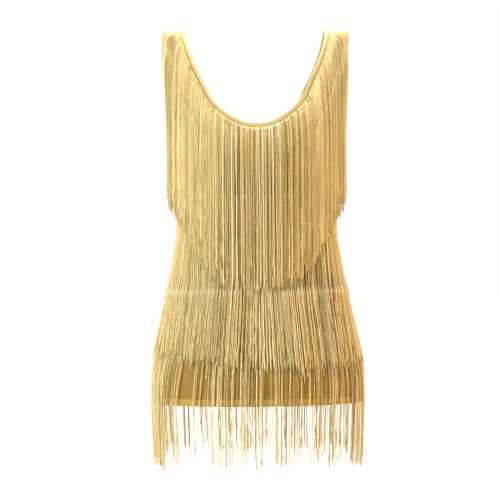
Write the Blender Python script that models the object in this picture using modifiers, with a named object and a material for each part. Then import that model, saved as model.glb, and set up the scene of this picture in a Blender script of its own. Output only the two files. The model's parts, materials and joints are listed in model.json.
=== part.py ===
"""A short sleeveless fringe dress, filled out as when worn: front and back panels, bindings and three fringe tiers.

The frame's origin is midway between the tops of the shoulders. The front faces -Y, and +Z is up.
"""

import math

import bmesh
import bpy
import numpy as np

# Cloth and seams, in metres
CLOTH = 0.0015
SEAM_GAP = 0.0005
SHOULDER_GAP = 0.0014
CURVE_POWER = 2.3
SHOULDER_SLOPE = 0.10
SLOPE_FADE = 0.04

# The body's rings: depth below the shoulder, half width, and reach of the front and of the back from the side seam
RINGS = np.array(
    [
        (0.000, 0.186, 0.000, 0.000),
        (0.003, 0.186, 0.018, 0.018),
        (0.014, 0.185, 0.036, 0.036),
        (0.036, 0.182, 0.053, 0.055),
        (0.070, 0.176, 0.069, 0.072),
        (0.115, 0.167, 0.086, 0.087),
        (0.165, 0.157, 0.102, 0.096),
        (0.212, 0.148, 0.110, 0.098),
        (0.250, 0.141, 0.108, 0.095),
        (0.300, 0.135, 0.099, 0.089),
        (0.350, 0.133, 0.092, 0.087),
        (0.400, 0.140, 0.094, 0.095),
        (0.455, 0.151, 0.099, 0.107),
        (0.510, 0.164, 0.103, 0.116),
        (0.560, 0.175, 0.104, 0.119),
        (0.605, 0.182, 0.103, 0.118),
        (0.647, 0.183, 0.101, 0.115),
    ]
)
DEPTH, HALF_WIDTH, FRONT, BACK = RINGS.T

# The finished neck edge: depth below the shoulder and half width
NECK = np.array(
    [
        (0.000, 0.1206),
        (0.034, 0.1145),
        (0.062, 0.1047),
        (0.091, 0.0915),
        (0.130, 0.0715),
        (0.152, 0.0480),
        (0.164, 0.0280),
        (0.169, 0.0000),
    ]
)
BACK_NECK_SHARE = 0.97
NECK_BINDING_WIDTH = 0.008

# The finished armhole edge: depth below the shoulder and angle round the body from the centre front, in degrees
ARMHOLE = np.array(
    [
        (0.000, 56.0),
        (0.050, 53.5),
        (0.100, 55.0),
        (0.150, 60.0),
        (0.185, 69.0),
        (0.205, 80.0),
        (0.212, 90.0),
    ]
)
ARMHOLE_BINDING_WIDTH = 0.006
BINDING_THICKNESS = 0.0026
ROUNDED_SHARE = 0.2
ARM_RADIUS = 0.15
ARM_MARGIN = math.radians(4)

# The turned-up hem stands out a little, over a short step
HEM_TURN_UP = 0.012
HEM_STEP = 0.001
HEM_LIFT = 0.0006

# Each panel's rows and columns, how its rows dip and crowd, and the angle at which its side edge stops
NECK_ROWS = 13
ARM_ROWS = 9
BODY_ROWS = 13
PANEL_COLUMNS = 9
ROW_DIP = 1.6
NECK_CROWDING = 1.25
ARM_CROWDING = 1.1
SEAM_ANGLE = math.pi / 2 - 0.0014

# Fringe: a narrow sewn tape with locks of strands that hang from its lower edge. The locks of the three tiers hang
# in layers, each a distance out from the cloth. PARTING is the bare run at either end of the neck's two tapes.
STRAND_LENGTH = 0.295
TAPE_WIDTH = 0.005
TAPE_THICKNESS = 0.0012
LOCK_THICKNESS = 0.0020
TAPE_LIFT = 0.0005
ROOT_LIFT = TAPE_LIFT + TAPE_THICKNESS / 2
LOCK_SHARE = 0.78
WIDEST_LOCK = 0.0085
NARROWEST_LOCK = 0.0022
LAYER_1 = 0.0026
LAYER_2 = 0.0055
LAYER_3 = 0.0085
LAYER_RUN = 0.020
TURN_SHARE = 1 / 6
END_TAPER = 0.35
RAGGED = (-0.008, 0.004)
STATION_SLACK = 0.0011
TIER_END_ANGLE = math.pi / 2 - 0.03
TIER_2_DEPTH = 0.289
TIER_3_DEPTH = 0.451
TAPE_MARGIN = 0.001
PARTING = 0.010

# Strands that start high on a strap drift outwards: the level of the root, and the half width at which it hangs
STRAP_HANG = np.array(
    [
        (0.000, 0.1560),
        (0.020, 0.1500),
        (0.050, 0.1375),
        (0.070, 0.1305),
        (0.090, 0.1245),
        (0.110, 0.1165),
        (0.130, 0.1075),
        (0.157, 0.0950),
    ]
)
OUTER_HANG = 0.145
DRIFT_BACK = 0.0035
DRIFT_RUN = 0.08
STRAP_FALL = 0.012
EARLY_DROP = 1.3
EARLY_TURN = 1.8
TOP_LENGTH = 0.030
TOP_LENGTH_RUN = 0.09
OVER_BINDING = 0.0034
RISE_SHARE = 0.4
OFF_EDGE_DROP = 0.5
TAPE_POINTS = 60
PATH_POINTS = 70
HANG_STEP = 0.004
SLIDE_ACROSS = 0.5

# Materials: colour, roughness and metallic value
KNIT = ("knit", (0.46, 0.29, 0.08, 1.0), 0.60, 0.25)
BINDING = ("binding", (0.66, 0.51, 0.20, 1.0), 0.50, 0.30)
FRINGE = ("fringe", (0.76, 0.60, 0.27, 1.0), 0.45, 0.30)


def through(knots, values, at, start=None, end=None):
    """A smooth curve through the values at the knots, with a stated slope at either end where one is given."""
    slopes = np.gradient(values, knots)
    slopes[0] = slopes[0] if start is None else start
    slopes[-1] = slopes[-1] if end is None else end
    at = np.asarray(at, float)
    i = np.clip(np.searchsorted(knots, at, side="right") - 1, 0, len(knots) - 2)
    span = knots[i + 1] - knots[i]
    u = (at - knots[i]) / span
    rest = 1 - u
    return (
        values[i] * (1 + 2 * u) * rest**2
        + slopes[i] * span * u * rest**2
        + values[i + 1] * u**2 * (3 - 2 * u)
        - slopes[i + 1] * span * u**2 * rest
    )


def running_length(*coordinates):
    """The distance along a line of points, from its first one."""
    steps = np.sqrt(sum(np.diff(c) ** 2 for c in coordinates))
    return np.concatenate([[0.0], np.cumsum(steps)])


# A level is the distance down the cloth from the shoulder's ridge. It goes on below 0, over to the other side.
LEVELS = running_length(DEPTH, (FRONT + BACK) / 2)
HEM_LEVEL = LEVELS[-1]


def depth_at(level):
    return through(LEVELS, DEPTH, np.abs(level), start=0.0)


def half_width_at(level):
    return through(LEVELS, HALF_WIDTH, np.abs(level), start=0.0)


def reach_at(level, side):
    """How far the cloth stands in front of the side seam (side -1) or behind it (side 1)."""
    reach = through(LEVELS, FRONT if side < 0 else BACK, np.abs(level), start=1.0)
    return np.sign(level) * reach


FINE_LEVELS = np.linspace(0.0, HEM_LEVEL, 400)
FINE_DEPTHS = depth_at(FINE_LEVELS)


def level_of(depth):
    return np.interp(depth, FINE_DEPTHS, FINE_LEVELS)


def cloth_point(angle, level, side, lift=0.0):
    """The cloth's outer face at an angle round from the centre, in radians, and a level."""
    level = np.asarray(level, float)
    across = np.abs(np.sin(angle)) ** (2 / CURVE_POWER) * np.sign(np.sin(angle))
    forward = np.abs(np.cos(angle)) ** (2 / CURVE_POWER) * np.sign(np.cos(angle))
    x = (half_width_at(level) + lift) * across
    y = side * (reach_at(level, side) + lift) * forward
    slope = SHOULDER_SLOPE * np.maximum(np.abs(x) - NECK[0, 1], 0) * np.exp(-np.abs(level) / SLOPE_FADE)
    z = -depth_at(level) - slope
    return np.stack(np.broadcast_arrays(x, y, z), axis=-1)


def unit(vectors):
    return vectors / np.linalg.norm(vectors, axis=-1, keepdims=True)


def cloth_normal(angle, level, side):
    """The direction out of the cloth, from two short steps along it."""
    step = 1e-3
    round_body = cloth_point(angle + step, level, side) - cloth_point(angle - step, level, side)
    down = cloth_point(angle, level + step, side) - cloth_point(angle, level - step, side)
    return unit(np.cross(round_body, down) * side)


def angle_of(x, level):
    """The angle round from the centre at which the cloth lies x to the side."""
    share = np.clip(np.abs(x) / half_width_at(level), 0, 1)
    return np.sign(x) * np.arcsin(share ** (CURVE_POWER / 2))


def neck_line(side, count):
    """Half of the finished neck edge, from the shoulder to the centre: angle and level."""
    levels = level_of(NECK[:, 0] * (1.0 if side < 0 else BACK_NECK_SHARE))
    knots = running_length(NECK[:, 1], levels)
    at = knots[-1] * np.linspace(0, 1, count) ** NECK_CROWDING
    x = through(knots, NECK[:, 1], at, start=0.0, end=-1.0)
    level = through(knots, levels, at, start=1.0, end=0.0)
    return angle_of(x, level), level


def armhole_line(side, count):
    """Half of the finished armhole edge, from the shoulder to the side seam: angle and level."""
    levels = level_of(ARMHOLE[:, 0])
    angles = np.radians(ARMHOLE[:, 1])
    knots = running_length(levels, angles * ARM_RADIUS)
    at = knots[-1] * np.linspace(0, 1, count) ** ARM_CROWDING
    level = through(knots, levels, at, start=1.0, end=0.0)
    angle = through(knots, angles, at, start=0.0)
    return angle, level


def edge_loop(line, count, toward):
    """A closed edge over both sides of one shoulder, or of both, with its directions along the cloth and out of it.

    The edge goes down the front half of the line and comes back up the back half. toward is 1 where the cloth lies
    nearer the centre than the edge, and -1 where it lies further out.
    """
    front_angle, front_level = line(-1, count)
    back_angle, back_level = line(1, count)
    if toward > 0:
        angle = np.concatenate([front_angle, back_angle[-2:0:-1]])
        level = np.concatenate([front_level, back_level[-2:0:-1]])
        side = np.array([-1] * count + [1] * (count - 2))
    else:
        angle = np.concatenate([front_angle, -front_angle[-2::-1], -back_angle[1:], back_angle[-2:0:-1]])
        level = np.concatenate([front_level, front_level[-2::-1], back_level[1:], back_level[-2:0:-1]])
        side = np.array([-1] * (2 * count - 1) + [1] * (2 * count - 3))
    points = np.array([cloth_point(a, l, s) for a, l, s in zip(angle, level, side)])
    normal = np.array([cloth_normal(a, l, s) for a, l, s in zip(angle, level, side)])
    along = unit(np.roll(points, -1, axis=0) - np.roll(points, 1, axis=0))
    into_cloth = unit(np.cross(along, normal)) * toward
    return angle, level, side, points, into_cloth, normal


def moved_on_cloth(angle, level, side, move):
    """The angle and level of a point of the cloth after a short move over it."""
    step = 1e-4
    per_angle = (cloth_point(angle + step, level, side) - cloth_point(angle - step, level, side)) / (2 * step)
    per_level = (cloth_point(angle, level + step, side) - cloth_point(angle, level - step, side)) / (2 * step)
    change = np.linalg.lstsq(np.stack([per_angle, per_level], axis=1), move, rcond=None)[0]
    return angle + change[0], level + change[1]


def half_edge(loop, count, side, distance):
    """One side's half of an edge loop, moved into the cloth: angle and level from the shoulder on."""
    total = len(loop[0])
    order = range(count) if side < 0 else [-i % total for i in range(count)]
    moved = [moved_on_cloth(loop[0][i], loop[1][i], side, loop[4][i] * distance) for i in order]
    angle, level = np.array(moved).T
    level[0] = SHOULDER_GAP / 2
    return angle, level


def add_object(name, mesh, finish, collection):
    """A named object with its own plain material."""
    slot, colour, roughness, metallic = finish
    material = bpy.data.materials.new(f"{name}_{slot}")
    material.use_nodes = True
    shader = material.node_tree.nodes["Principled BSDF"]
    shader.inputs["Base Color"].default_value = colour
    shader.inputs["Roughness"].default_value = roughness
    shader.inputs["Metallic"].default_value = metallic
    mesh.materials.append(material)
    obj = bpy.data.objects.new(name, mesh)
    collection.objects.link(obj)
    return obj


def grid_mesh(name, points, flip):
    """A mesh of quads over rows and columns of points."""
    rows, columns = points.shape[:2]
    bm = bmesh.new()
    verts = [[bm.verts.new(p) for p in row] for row in points]
    for r in range(rows - 1):
        for c in range(columns - 1):
            corners = [verts[r][c], verts[r + 1][c], verts[r + 1][c + 1], verts[r][c + 1]]
            bm.faces.new(corners[::-1] if flip else corners)
    mesh = bpy.data.meshes.new(name)
    bm.to_mesh(mesh)
    bm.free()
    return mesh


def add_panel(name, side, neck_edge, arm_edge, collection):
    """A front or back panel: half of its outer face, mirrored, with the wall's thickness set inwards.

    Its rows fan out from the neck edge to the armhole, and from the centre line to the side seam below that. They
    dip early, so that they meet the armhole's curved foot without crossing.
    """
    turn_level = HEM_LEVEL - HEM_TURN_UP
    neck_angle, neck_level = half_edge(neck_edge, NECK_ROWS, side, NECK_BINDING_WIDTH + SEAM_GAP)
    neck_angle[-1] = 0.0
    centre_levels = np.linspace(neck_level[-1], turn_level, BODY_ROWS)[1:]
    inner_level = np.concatenate([neck_level, centre_levels, [turn_level + HEM_STEP, HEM_LEVEL]])
    inner_angle = np.concatenate([neck_angle, np.zeros(BODY_ROWS + 1)])

    arm_angle, arm_level = half_edge(arm_edge, ARM_ROWS, side, ARMHOLE_BINDING_WIDTH + SEAM_GAP)
    arm_angle[-1] = SEAM_ANGLE
    seam_rows = NECK_ROWS + BODY_ROWS - 1 - ARM_ROWS
    seam_levels = np.linspace(arm_level[-1], turn_level, seam_rows + 1)[1:]
    outer_level = np.concatenate([arm_level, seam_levels, [turn_level + HEM_STEP, HEM_LEVEL]])
    outer_angle = np.concatenate([arm_angle, np.full(seam_rows + 2, SEAM_ANGLE)])

    share = np.linspace(0, 1, PANEL_COLUMNS)
    angle = inner_angle[:, None] + (outer_angle - inner_angle)[:, None] * share
    level = inner_level[:, None] + (outer_level - inner_level)[:, None] * (1 - (1 - share) ** ROW_DIP)
    lift = np.where(level > turn_level + HEM_STEP / 2, HEM_LIFT, 0.0)
    mesh = grid_mesh(name, cloth_point(angle, level, side, lift), flip=side > 0)
    panel = add_object(name, mesh, KNIT, collection)
    mirror = panel.modifiers.new("Both halves", "MIRROR")
    mirror.merge_threshold = 0.0001
    wall = panel.modifiers.new("Cloth", "SOLIDIFY")
    wall.thickness = CLOTH
    wall.offset = -1.0
    return panel


def add_binding(name, loop, width, hand, collection):
    """A flat strip with rounded sides, swept along a closed edge in the thickness of the cloth."""
    _, _, _, edge, into_cloth, normal = loop
    half = BINDING_THICKNESS / 2
    corner = ROUNDED_SHARE * width
    outline = [(0, 0), (corner, half), (width - corner, half), (width, 0), (width - corner, -half), (corner, -half)]
    middle = edge - normal * CLOTH / 2
    sections = np.stack([middle + into_cloth * w + normal * t for w, t in outline], axis=1) * (hand, 1, 1)
    bm = bmesh.new()
    rings = [[bm.verts.new(p) for p in section] for section in sections]
    for here, after in zip(rings, rings[1:] + rings[:1]):
        for i in range(len(outline)):
            j = (i + 1) % len(outline)
            bm.faces.new([here[i], here[j], after[j], after[i]])
    bmesh.ops.recalc_face_normals(bm, faces=bm.faces)
    mesh = bpy.data.meshes.new(name)
    bm.to_mesh(mesh)
    bm.free()
    return add_object(name, mesh, BINDING, collection)


FINE_ARM_ANGLE, FINE_ARM_LEVEL = armhole_line(-1, 60)


def ring_slope(x, y, z):
    """The body's ring at a height: how far outside it a point is, as a share, and the direction square out of it."""
    level = level_of(min(-z, DEPTH[-1]))
    half_width = half_width_at(level)
    reach = reach_at(level, -1 if y < 0 else 1)
    share_x, share_y = abs(x) / half_width, abs(y) / reach
    slope_x = CURVE_POWER * share_x ** (CURVE_POWER - 1) / half_width * math.copysign(1, x)
    slope_y = CURVE_POWER * share_y ** (CURVE_POWER - 1) / reach * math.copysign(1, y)
    return share_x**CURVE_POWER + share_y**CURVE_POWER - 1, np.array([slope_x, slope_y])


def over_armhole(x, y, z):
    """Is a point beside the body off the cloth, where the armhole is open?"""
    level = level_of(min(-z, DEPTH[-1]))
    if level >= FINE_ARM_LEVEL[-1]:
        return False
    half_width = half_width_at(level)
    reach = max(reach_at(level, -1 if y < 0 else 1), 1e-6)
    angle = math.atan2((abs(x) / half_width) ** (CURVE_POWER / 2), (abs(y) / reach) ** (CURVE_POWER / 2))
    return angle > np.interp(level, FINE_ARM_LEVEL, FINE_ARM_ANGLE) + ARM_MARGIN


def push_clear(x, y, z, clear):
    """Moves a point out of the body, more forwards than across, until it is clear of the cloth."""
    if over_armhole(x, y, z):
        return x, y
    for _ in range(4):
        outside, slope = ring_slope(x, y, z)
        short = clear - outside / math.hypot(*slope)
        if short <= 1e-6:
            break
        way = unit(slope * (SLIDE_ACROSS, 1.0))
        x, y = np.array([x, y]) + way * short / (way @ unit(slope))
    return float(x), float(y)


def hang(start, length, clear_at):
    """A strand let go at a point: it falls plumb and slides out over the cloth that it meets."""
    x, y, z = start
    points = [(x, y, z)]
    fallen = 0.0
    while fallen < length:
        z -= HANG_STEP
        x, y = push_clear(x, y, z, clear_at(fallen, -z))
        points.append((x, y, z))
        fallen += math.dist(points[-1], points[-2])
    return np.array(points)


def resample(points, count):
    """The same line, with points spaced evenly along it."""
    length = running_length(*points.T)
    at = np.linspace(0, length[-1], count)
    return np.stack([np.interp(at, length, c) for c in points.T], axis=-1)


def needed_stations(points):
    """The fewest of a line's points that keep every other one close to the straight lines between them."""
    keep = {0, len(points) - 1}
    spans = [(0, len(points) - 1)]
    while spans:
        first, last = spans.pop()
        if last - first < 2:
            continue
        run = unit(points[last] - points[first])
        away = points[first + 1 : last] - points[first]
        off = np.linalg.norm(away - (away @ run)[:, None] * run, axis=1)
        worst = int(off.argmax())
        if off[worst] > STATION_SLACK:
            split = first + 1 + worst
            keep.add(split)
            spans += [(first, split), (split, last)]
    return sorted(keep)


def lock_frames(path, root_side):
    """Directions across and out of a lock at each of its points."""
    along = unit(np.gradient(path, axis=0))
    plumb_out = np.array([[*ring_slope(*p)[1], 0.0] for p in path])
    out = unit(plumb_out - (plumb_out * along).sum(axis=1)[:, None] * along)
    across = np.cross(along, out)
    blend = np.clip(np.linspace(0, 1, len(path)) / TURN_SHARE, 0, 1)[:, None]
    across = unit(root_side * (1 - blend) + across * blend * np.sign((across[-1] * root_side).sum()))
    across = unit(across - (across * along).sum(axis=1)[:, None] * along)
    out_turn = np.cross(across, along)
    return across, out_turn * np.sign((out_turn * out).sum(axis=1))[:, None]


def lock_widths(paths, frames):
    """Each lock's width along its length: a share of the room beside its neighbours."""
    widths = []
    for i, path in enumerate(paths):
        room = np.full(len(path), WIDEST_LOCK / LOCK_SHARE)
        for j in (i - 1, i + 1):
            if 0 <= j < len(paths):
                apart = np.abs(((paths[j] - path) * frames[i][0]).sum(axis=1))
                room = np.minimum(room, apart)
        widths.append(np.clip(room * LOCK_SHARE, NARROWEST_LOCK, WIDEST_LOCK))
    return widths


def add_fringe(name, tape, roots, paths, collection):
    """A sewn tape with locks drawn out of its lower edge.

    The tape gives its upper and lower points and its normals at each end of each lock, in order along it.
    """
    upper, lower, normal = tape
    bm = bmesh.new()
    bottom = TAPE_LIFT
    top = TAPE_LIFT + TAPE_THICKNESS
    rings = []
    for u, w, n in zip(upper, lower, normal):
        rings.append([bm.verts.new(p) for p in (u + n * bottom, w + n * bottom, w + n * top, u + n * top)])
    lower_faces = []
    for here, after in zip(rings, rings[1:]):
        for i in range(4):
            j = (i + 1) % 4
            face = bm.faces.new([here[i], here[j], after[j], after[i]])
            if i == 1:
                lower_faces.append(face)
    bm.faces.new(rings[0][::-1])
    bm.faces.new(rings[-1])

    frames = [lock_frames(path, side) for path, side in zip(paths, roots)]
    widths = lock_widths(paths, frames)
    for i, path in enumerate(paths):
        face = lower_faces[2 * i + 1]
        across, out = frames[i]
        taper = 1 - END_TAPER * np.linspace(0, 1, len(path)) ** 2
        for k in needed_stations(path)[1:]:
            face = bmesh.ops.extrude_discrete_faces(bm, faces=[face])["faces"][0]
            half = across[k] * widths[i][k] / 2 * taper[k]
            thick = out[k] * LOCK_THICKNESS / 2 * taper[k]
            corners = (path[k] - half - thick, path[k] - half + thick, path[k] + half + thick, path[k] + half - thick)
            for vert, corner in zip(face.verts, corners):
                vert.co = corner
    bmesh.ops.recalc_face_normals(bm, faces=bm.faces)
    mesh = bpy.data.meshes.new(name)
    bm.to_mesh(mesh)
    bm.free()
    return add_object(name, mesh, FRINGE, collection)


def tape_stations(total, count, margin):
    """Distances along a tape of both ends of each lock's root, and of the tape's own ends."""
    pitch = (total - 2 * margin) / count
    middles = margin + pitch * (np.arange(count) + 0.5)
    half = min(WIDEST_LOCK, pitch * LOCK_SHARE) / 2
    ends = np.sort(np.concatenate([middles - half, middles + half]))
    return middles, np.concatenate([[0.0], ends, [total]])


def tape_of(point_at, stations):
    """The upper and lower points and the normals of a tape at distances along it."""
    upper, lower, normal = [], [], []
    for at in stations:
        high, out = point_at(at, 0.0)
        low, _ = point_at(at, TAPE_WIDTH)
        upper.append(high)
        lower.append(low)
        normal.append(out)
    return np.array(upper), np.array(lower), np.array(normal)


def root_at(point_at, at):
    """Where a lock leaves its tape, and the direction along the tape there."""
    low, out = point_at(at, TAPE_WIDTH)
    before, _ = point_at(at - 0.002, TAPE_WIDTH)
    after, _ = point_at(at + 0.002, TAPE_WIDTH)
    return low + out * ROOT_LIFT, unit(after - before)


def add_ring_tier(name, side, depth, count, layer, sway, seed, collection):
    """A level row of fringe across the front or the back."""
    chance = np.random.default_rng(seed)
    fine = np.linspace(-TIER_END_ANGLE, TIER_END_ANGLE, 721)
    top_level = level_of(depth)
    length = running_length(*cloth_point(fine, top_level, side).T)

    def point_at(at, down):
        angle = np.interp(at, length, fine)
        return cloth_point(angle, top_level + down, side), cloth_normal(angle, top_level + down, side)

    def clear_at(fallen, _):
        return ROOT_LIFT + (layer - ROOT_LIFT) * min(fallen / LAYER_RUN, 1.0)

    middles, stations = tape_stations(length[-1], count, TAPE_MARGIN)
    paths, roots = [], []
    for at in middles:
        start, root = root_at(point_at, at)
        drop = STRAND_LENGTH + chance.uniform(*RAGGED)
        paths.append(resample(hang(start, drop, clear_at), PATH_POINTS))
        roots.append(root)
    gather(paths, sway, layer, chance)
    return add_fringe(name, tape_of(point_at, stations), roots, paths, collection)


def gather(paths, sway, clear, chance):
    """Draws groups of two to four locks together towards their ends, as strands cling, clear of the cloth."""
    first = 0
    while first < len(paths):
        group = range(first, min(first + int(chance.integers(2, 5)), len(paths)))
        middle = sum(paths[i] for i in group) / len(group)
        for i in group:
            share = np.linspace(0, 1, len(paths[i])) ** 3 * sway
            paths[i][:, :2] += (middle - paths[i])[:, :2] * share[:, None]
            for point in paths[i][len(paths[i]) // 3 :]:
                point[:2] = push_clear(*point, clear)
        first = group[-1] + 1


def cross_strap(start_angle, level, side, hand):
    """The first part of a strand that starts high on a strap: aslant over the strap, and near its top off its edge."""
    leave = level + STRAP_FALL + level / 2
    hang_x = np.interp(level, *STRAP_HANG.T)
    edge_angle, edge_level = armhole_line(side, TAPE_POINTS)
    edge = np.interp(leave, edge_level, edge_angle)
    edge_x = float(cloth_point(edge, leave, side)[0])
    start_x = float(cloth_point(start_angle, level, side)[0])
    points = []
    for share in np.linspace(0, 1, 9):
        at = level + (leave - level) * share**EARLY_DROP
        x = start_x + (min(edge_x, hang_x) - start_x) * (1 - (1 - share) ** EARLY_TURN)
        angle = angle_of(x, at)
        rise = ROOT_LIFT + (OVER_BINDING - ROOT_LIFT) * min(share / RISE_SHARE, 1)
        points.append(cloth_point(angle, at, side) + cloth_normal(angle, at, side) * rise)
    off_edge = hang_x - edge_x
    if off_edge > 0:
        points.append(points[-1] + np.array([off_edge, 0.0, -OFF_EDGE_DROP * off_edge]))
    return np.array(points) * (hand, 1, 1)


def add_neck_tier(name, side, count, seed, collection):
    """The fringe round the neckline: over the straps at its ends, down the chest or back between them."""
    chance = np.random.default_rng(seed)
    loop = edge_loop(neck_line, TAPE_POINTS, toward=-1)
    beside_binding = NECK_BINDING_WIDTH + SEAM_GAP
    edges = [half_edge(loop, TAPE_POINTS, side, beside_binding + down) for down in (0.0, TAPE_WIDTH)]
    for angle, _ in edges:
        angle[-1] = 0.0
    angles = [np.concatenate([angle, -angle[-2::-1]]) for angle, _ in edges]
    levels = [np.concatenate([level, level[-2::-1]]) for _, level in edges]
    length = running_length(*cloth_point(angles[1], levels[1], side).T)

    def place(at, down):
        share = down / TAPE_WIDTH
        return (
            np.interp(at + PARTING, length, upper) * (1 - share) + np.interp(at + PARTING, length, lower) * share
            for upper, lower in (angles, levels)
        )

    def point_at(at, down):
        angle, level = place(at, down)
        return cloth_point(angle, level, side), cloth_normal(angle, level, side)

    def clear_at(fallen, depth):
        layer = LAYER_2 if depth < TIER_2_DEPTH - 2 * TAPE_WIDTH else LAYER_3
        return ROOT_LIFT + (layer - ROOT_LIFT) * min(fallen / LAYER_RUN, 1.0)

    middles, stations = tape_stations(length[-1] - 2 * PARTING, count, TAPE_MARGIN)
    paths, roots = [], []
    for at in middles:
        start, root = root_at(point_at, at)
        angle, level = place(at, TAPE_WIDTH)
        drop = STRAND_LENGTH + chance.uniform(*RAGGED)
        if level < STRAP_HANG[-1, 0]:
            lead = cross_strap(abs(angle), level, side, math.copysign(1, angle))
            drop += TOP_LENGTH * max(1 - level / TOP_LENGTH_RUN, 0) - running_length(*lead.T)[-1]
        else:
            lead = start[None]
        tail = hang(lead[-1], drop, clear_at)
        drift = DRIFT_BACK * np.clip((abs(lead[-1, 0]) - OUTER_HANG) / (STRAP_HANG[0, 1] - OUTER_HANG), 0, 1)
        fallen = np.clip((tail[0, 2] - tail[:, 2]) / DRIFT_RUN, 0, 1)
        tail[:, 0] -= math.copysign(drift, angle) * fallen * (2 - fallen)
        paths.append(resample(np.concatenate([lead, tail[1:]]), PATH_POINTS))
        roots.append(root)
    return add_fringe(name, tape_of(point_at, stations), roots, paths, collection)


def main():
    for obj in list(bpy.data.objects):
        bpy.data.objects.remove(obj)
    dress = bpy.data.collections.new("fringe_dress")
    bpy.context.scene.collection.children.link(dress)
    neck_edge = edge_loop(neck_line, NECK_ROWS, toward=-1)
    arm_edge = edge_loop(armhole_line, ARM_ROWS, toward=1)
    add_panel("front_panel", -1, neck_edge, arm_edge, dress)
    add_panel("back_panel", 1, neck_edge, arm_edge, dress)
    add_binding("neck_binding", neck_edge, NECK_BINDING_WIDTH, 1, dress)
    add_binding("armhole_binding_right", arm_edge, ARMHOLE_BINDING_WIDTH, 1, dress)
    add_binding("armhole_binding_left", arm_edge, ARMHOLE_BINDING_WIDTH, -1, dress)
    add_neck_tier("fringe_1_front", -1, 42, 11, dress)
    add_neck_tier("fringe_1_back", 1, 40, 12, dress)
    add_ring_tier("fringe_2_front", -1, TIER_2_DEPTH, 40, LAYER_2, 0.25, 21, dress)
    add_ring_tier("fringe_2_back", 1, TIER_2_DEPTH, 40, LAYER_2, 0.25, 22, dress)
    add_ring_tier("fringe_3_front", -1, TIER_3_DEPTH, 43, LAYER_1, 0.45, 31, dress)
    add_ring_tier("fringe_3_back", 1, TIER_3_DEPTH, 43, LAYER_1, 0.45, 32, dress)


main()
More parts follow.
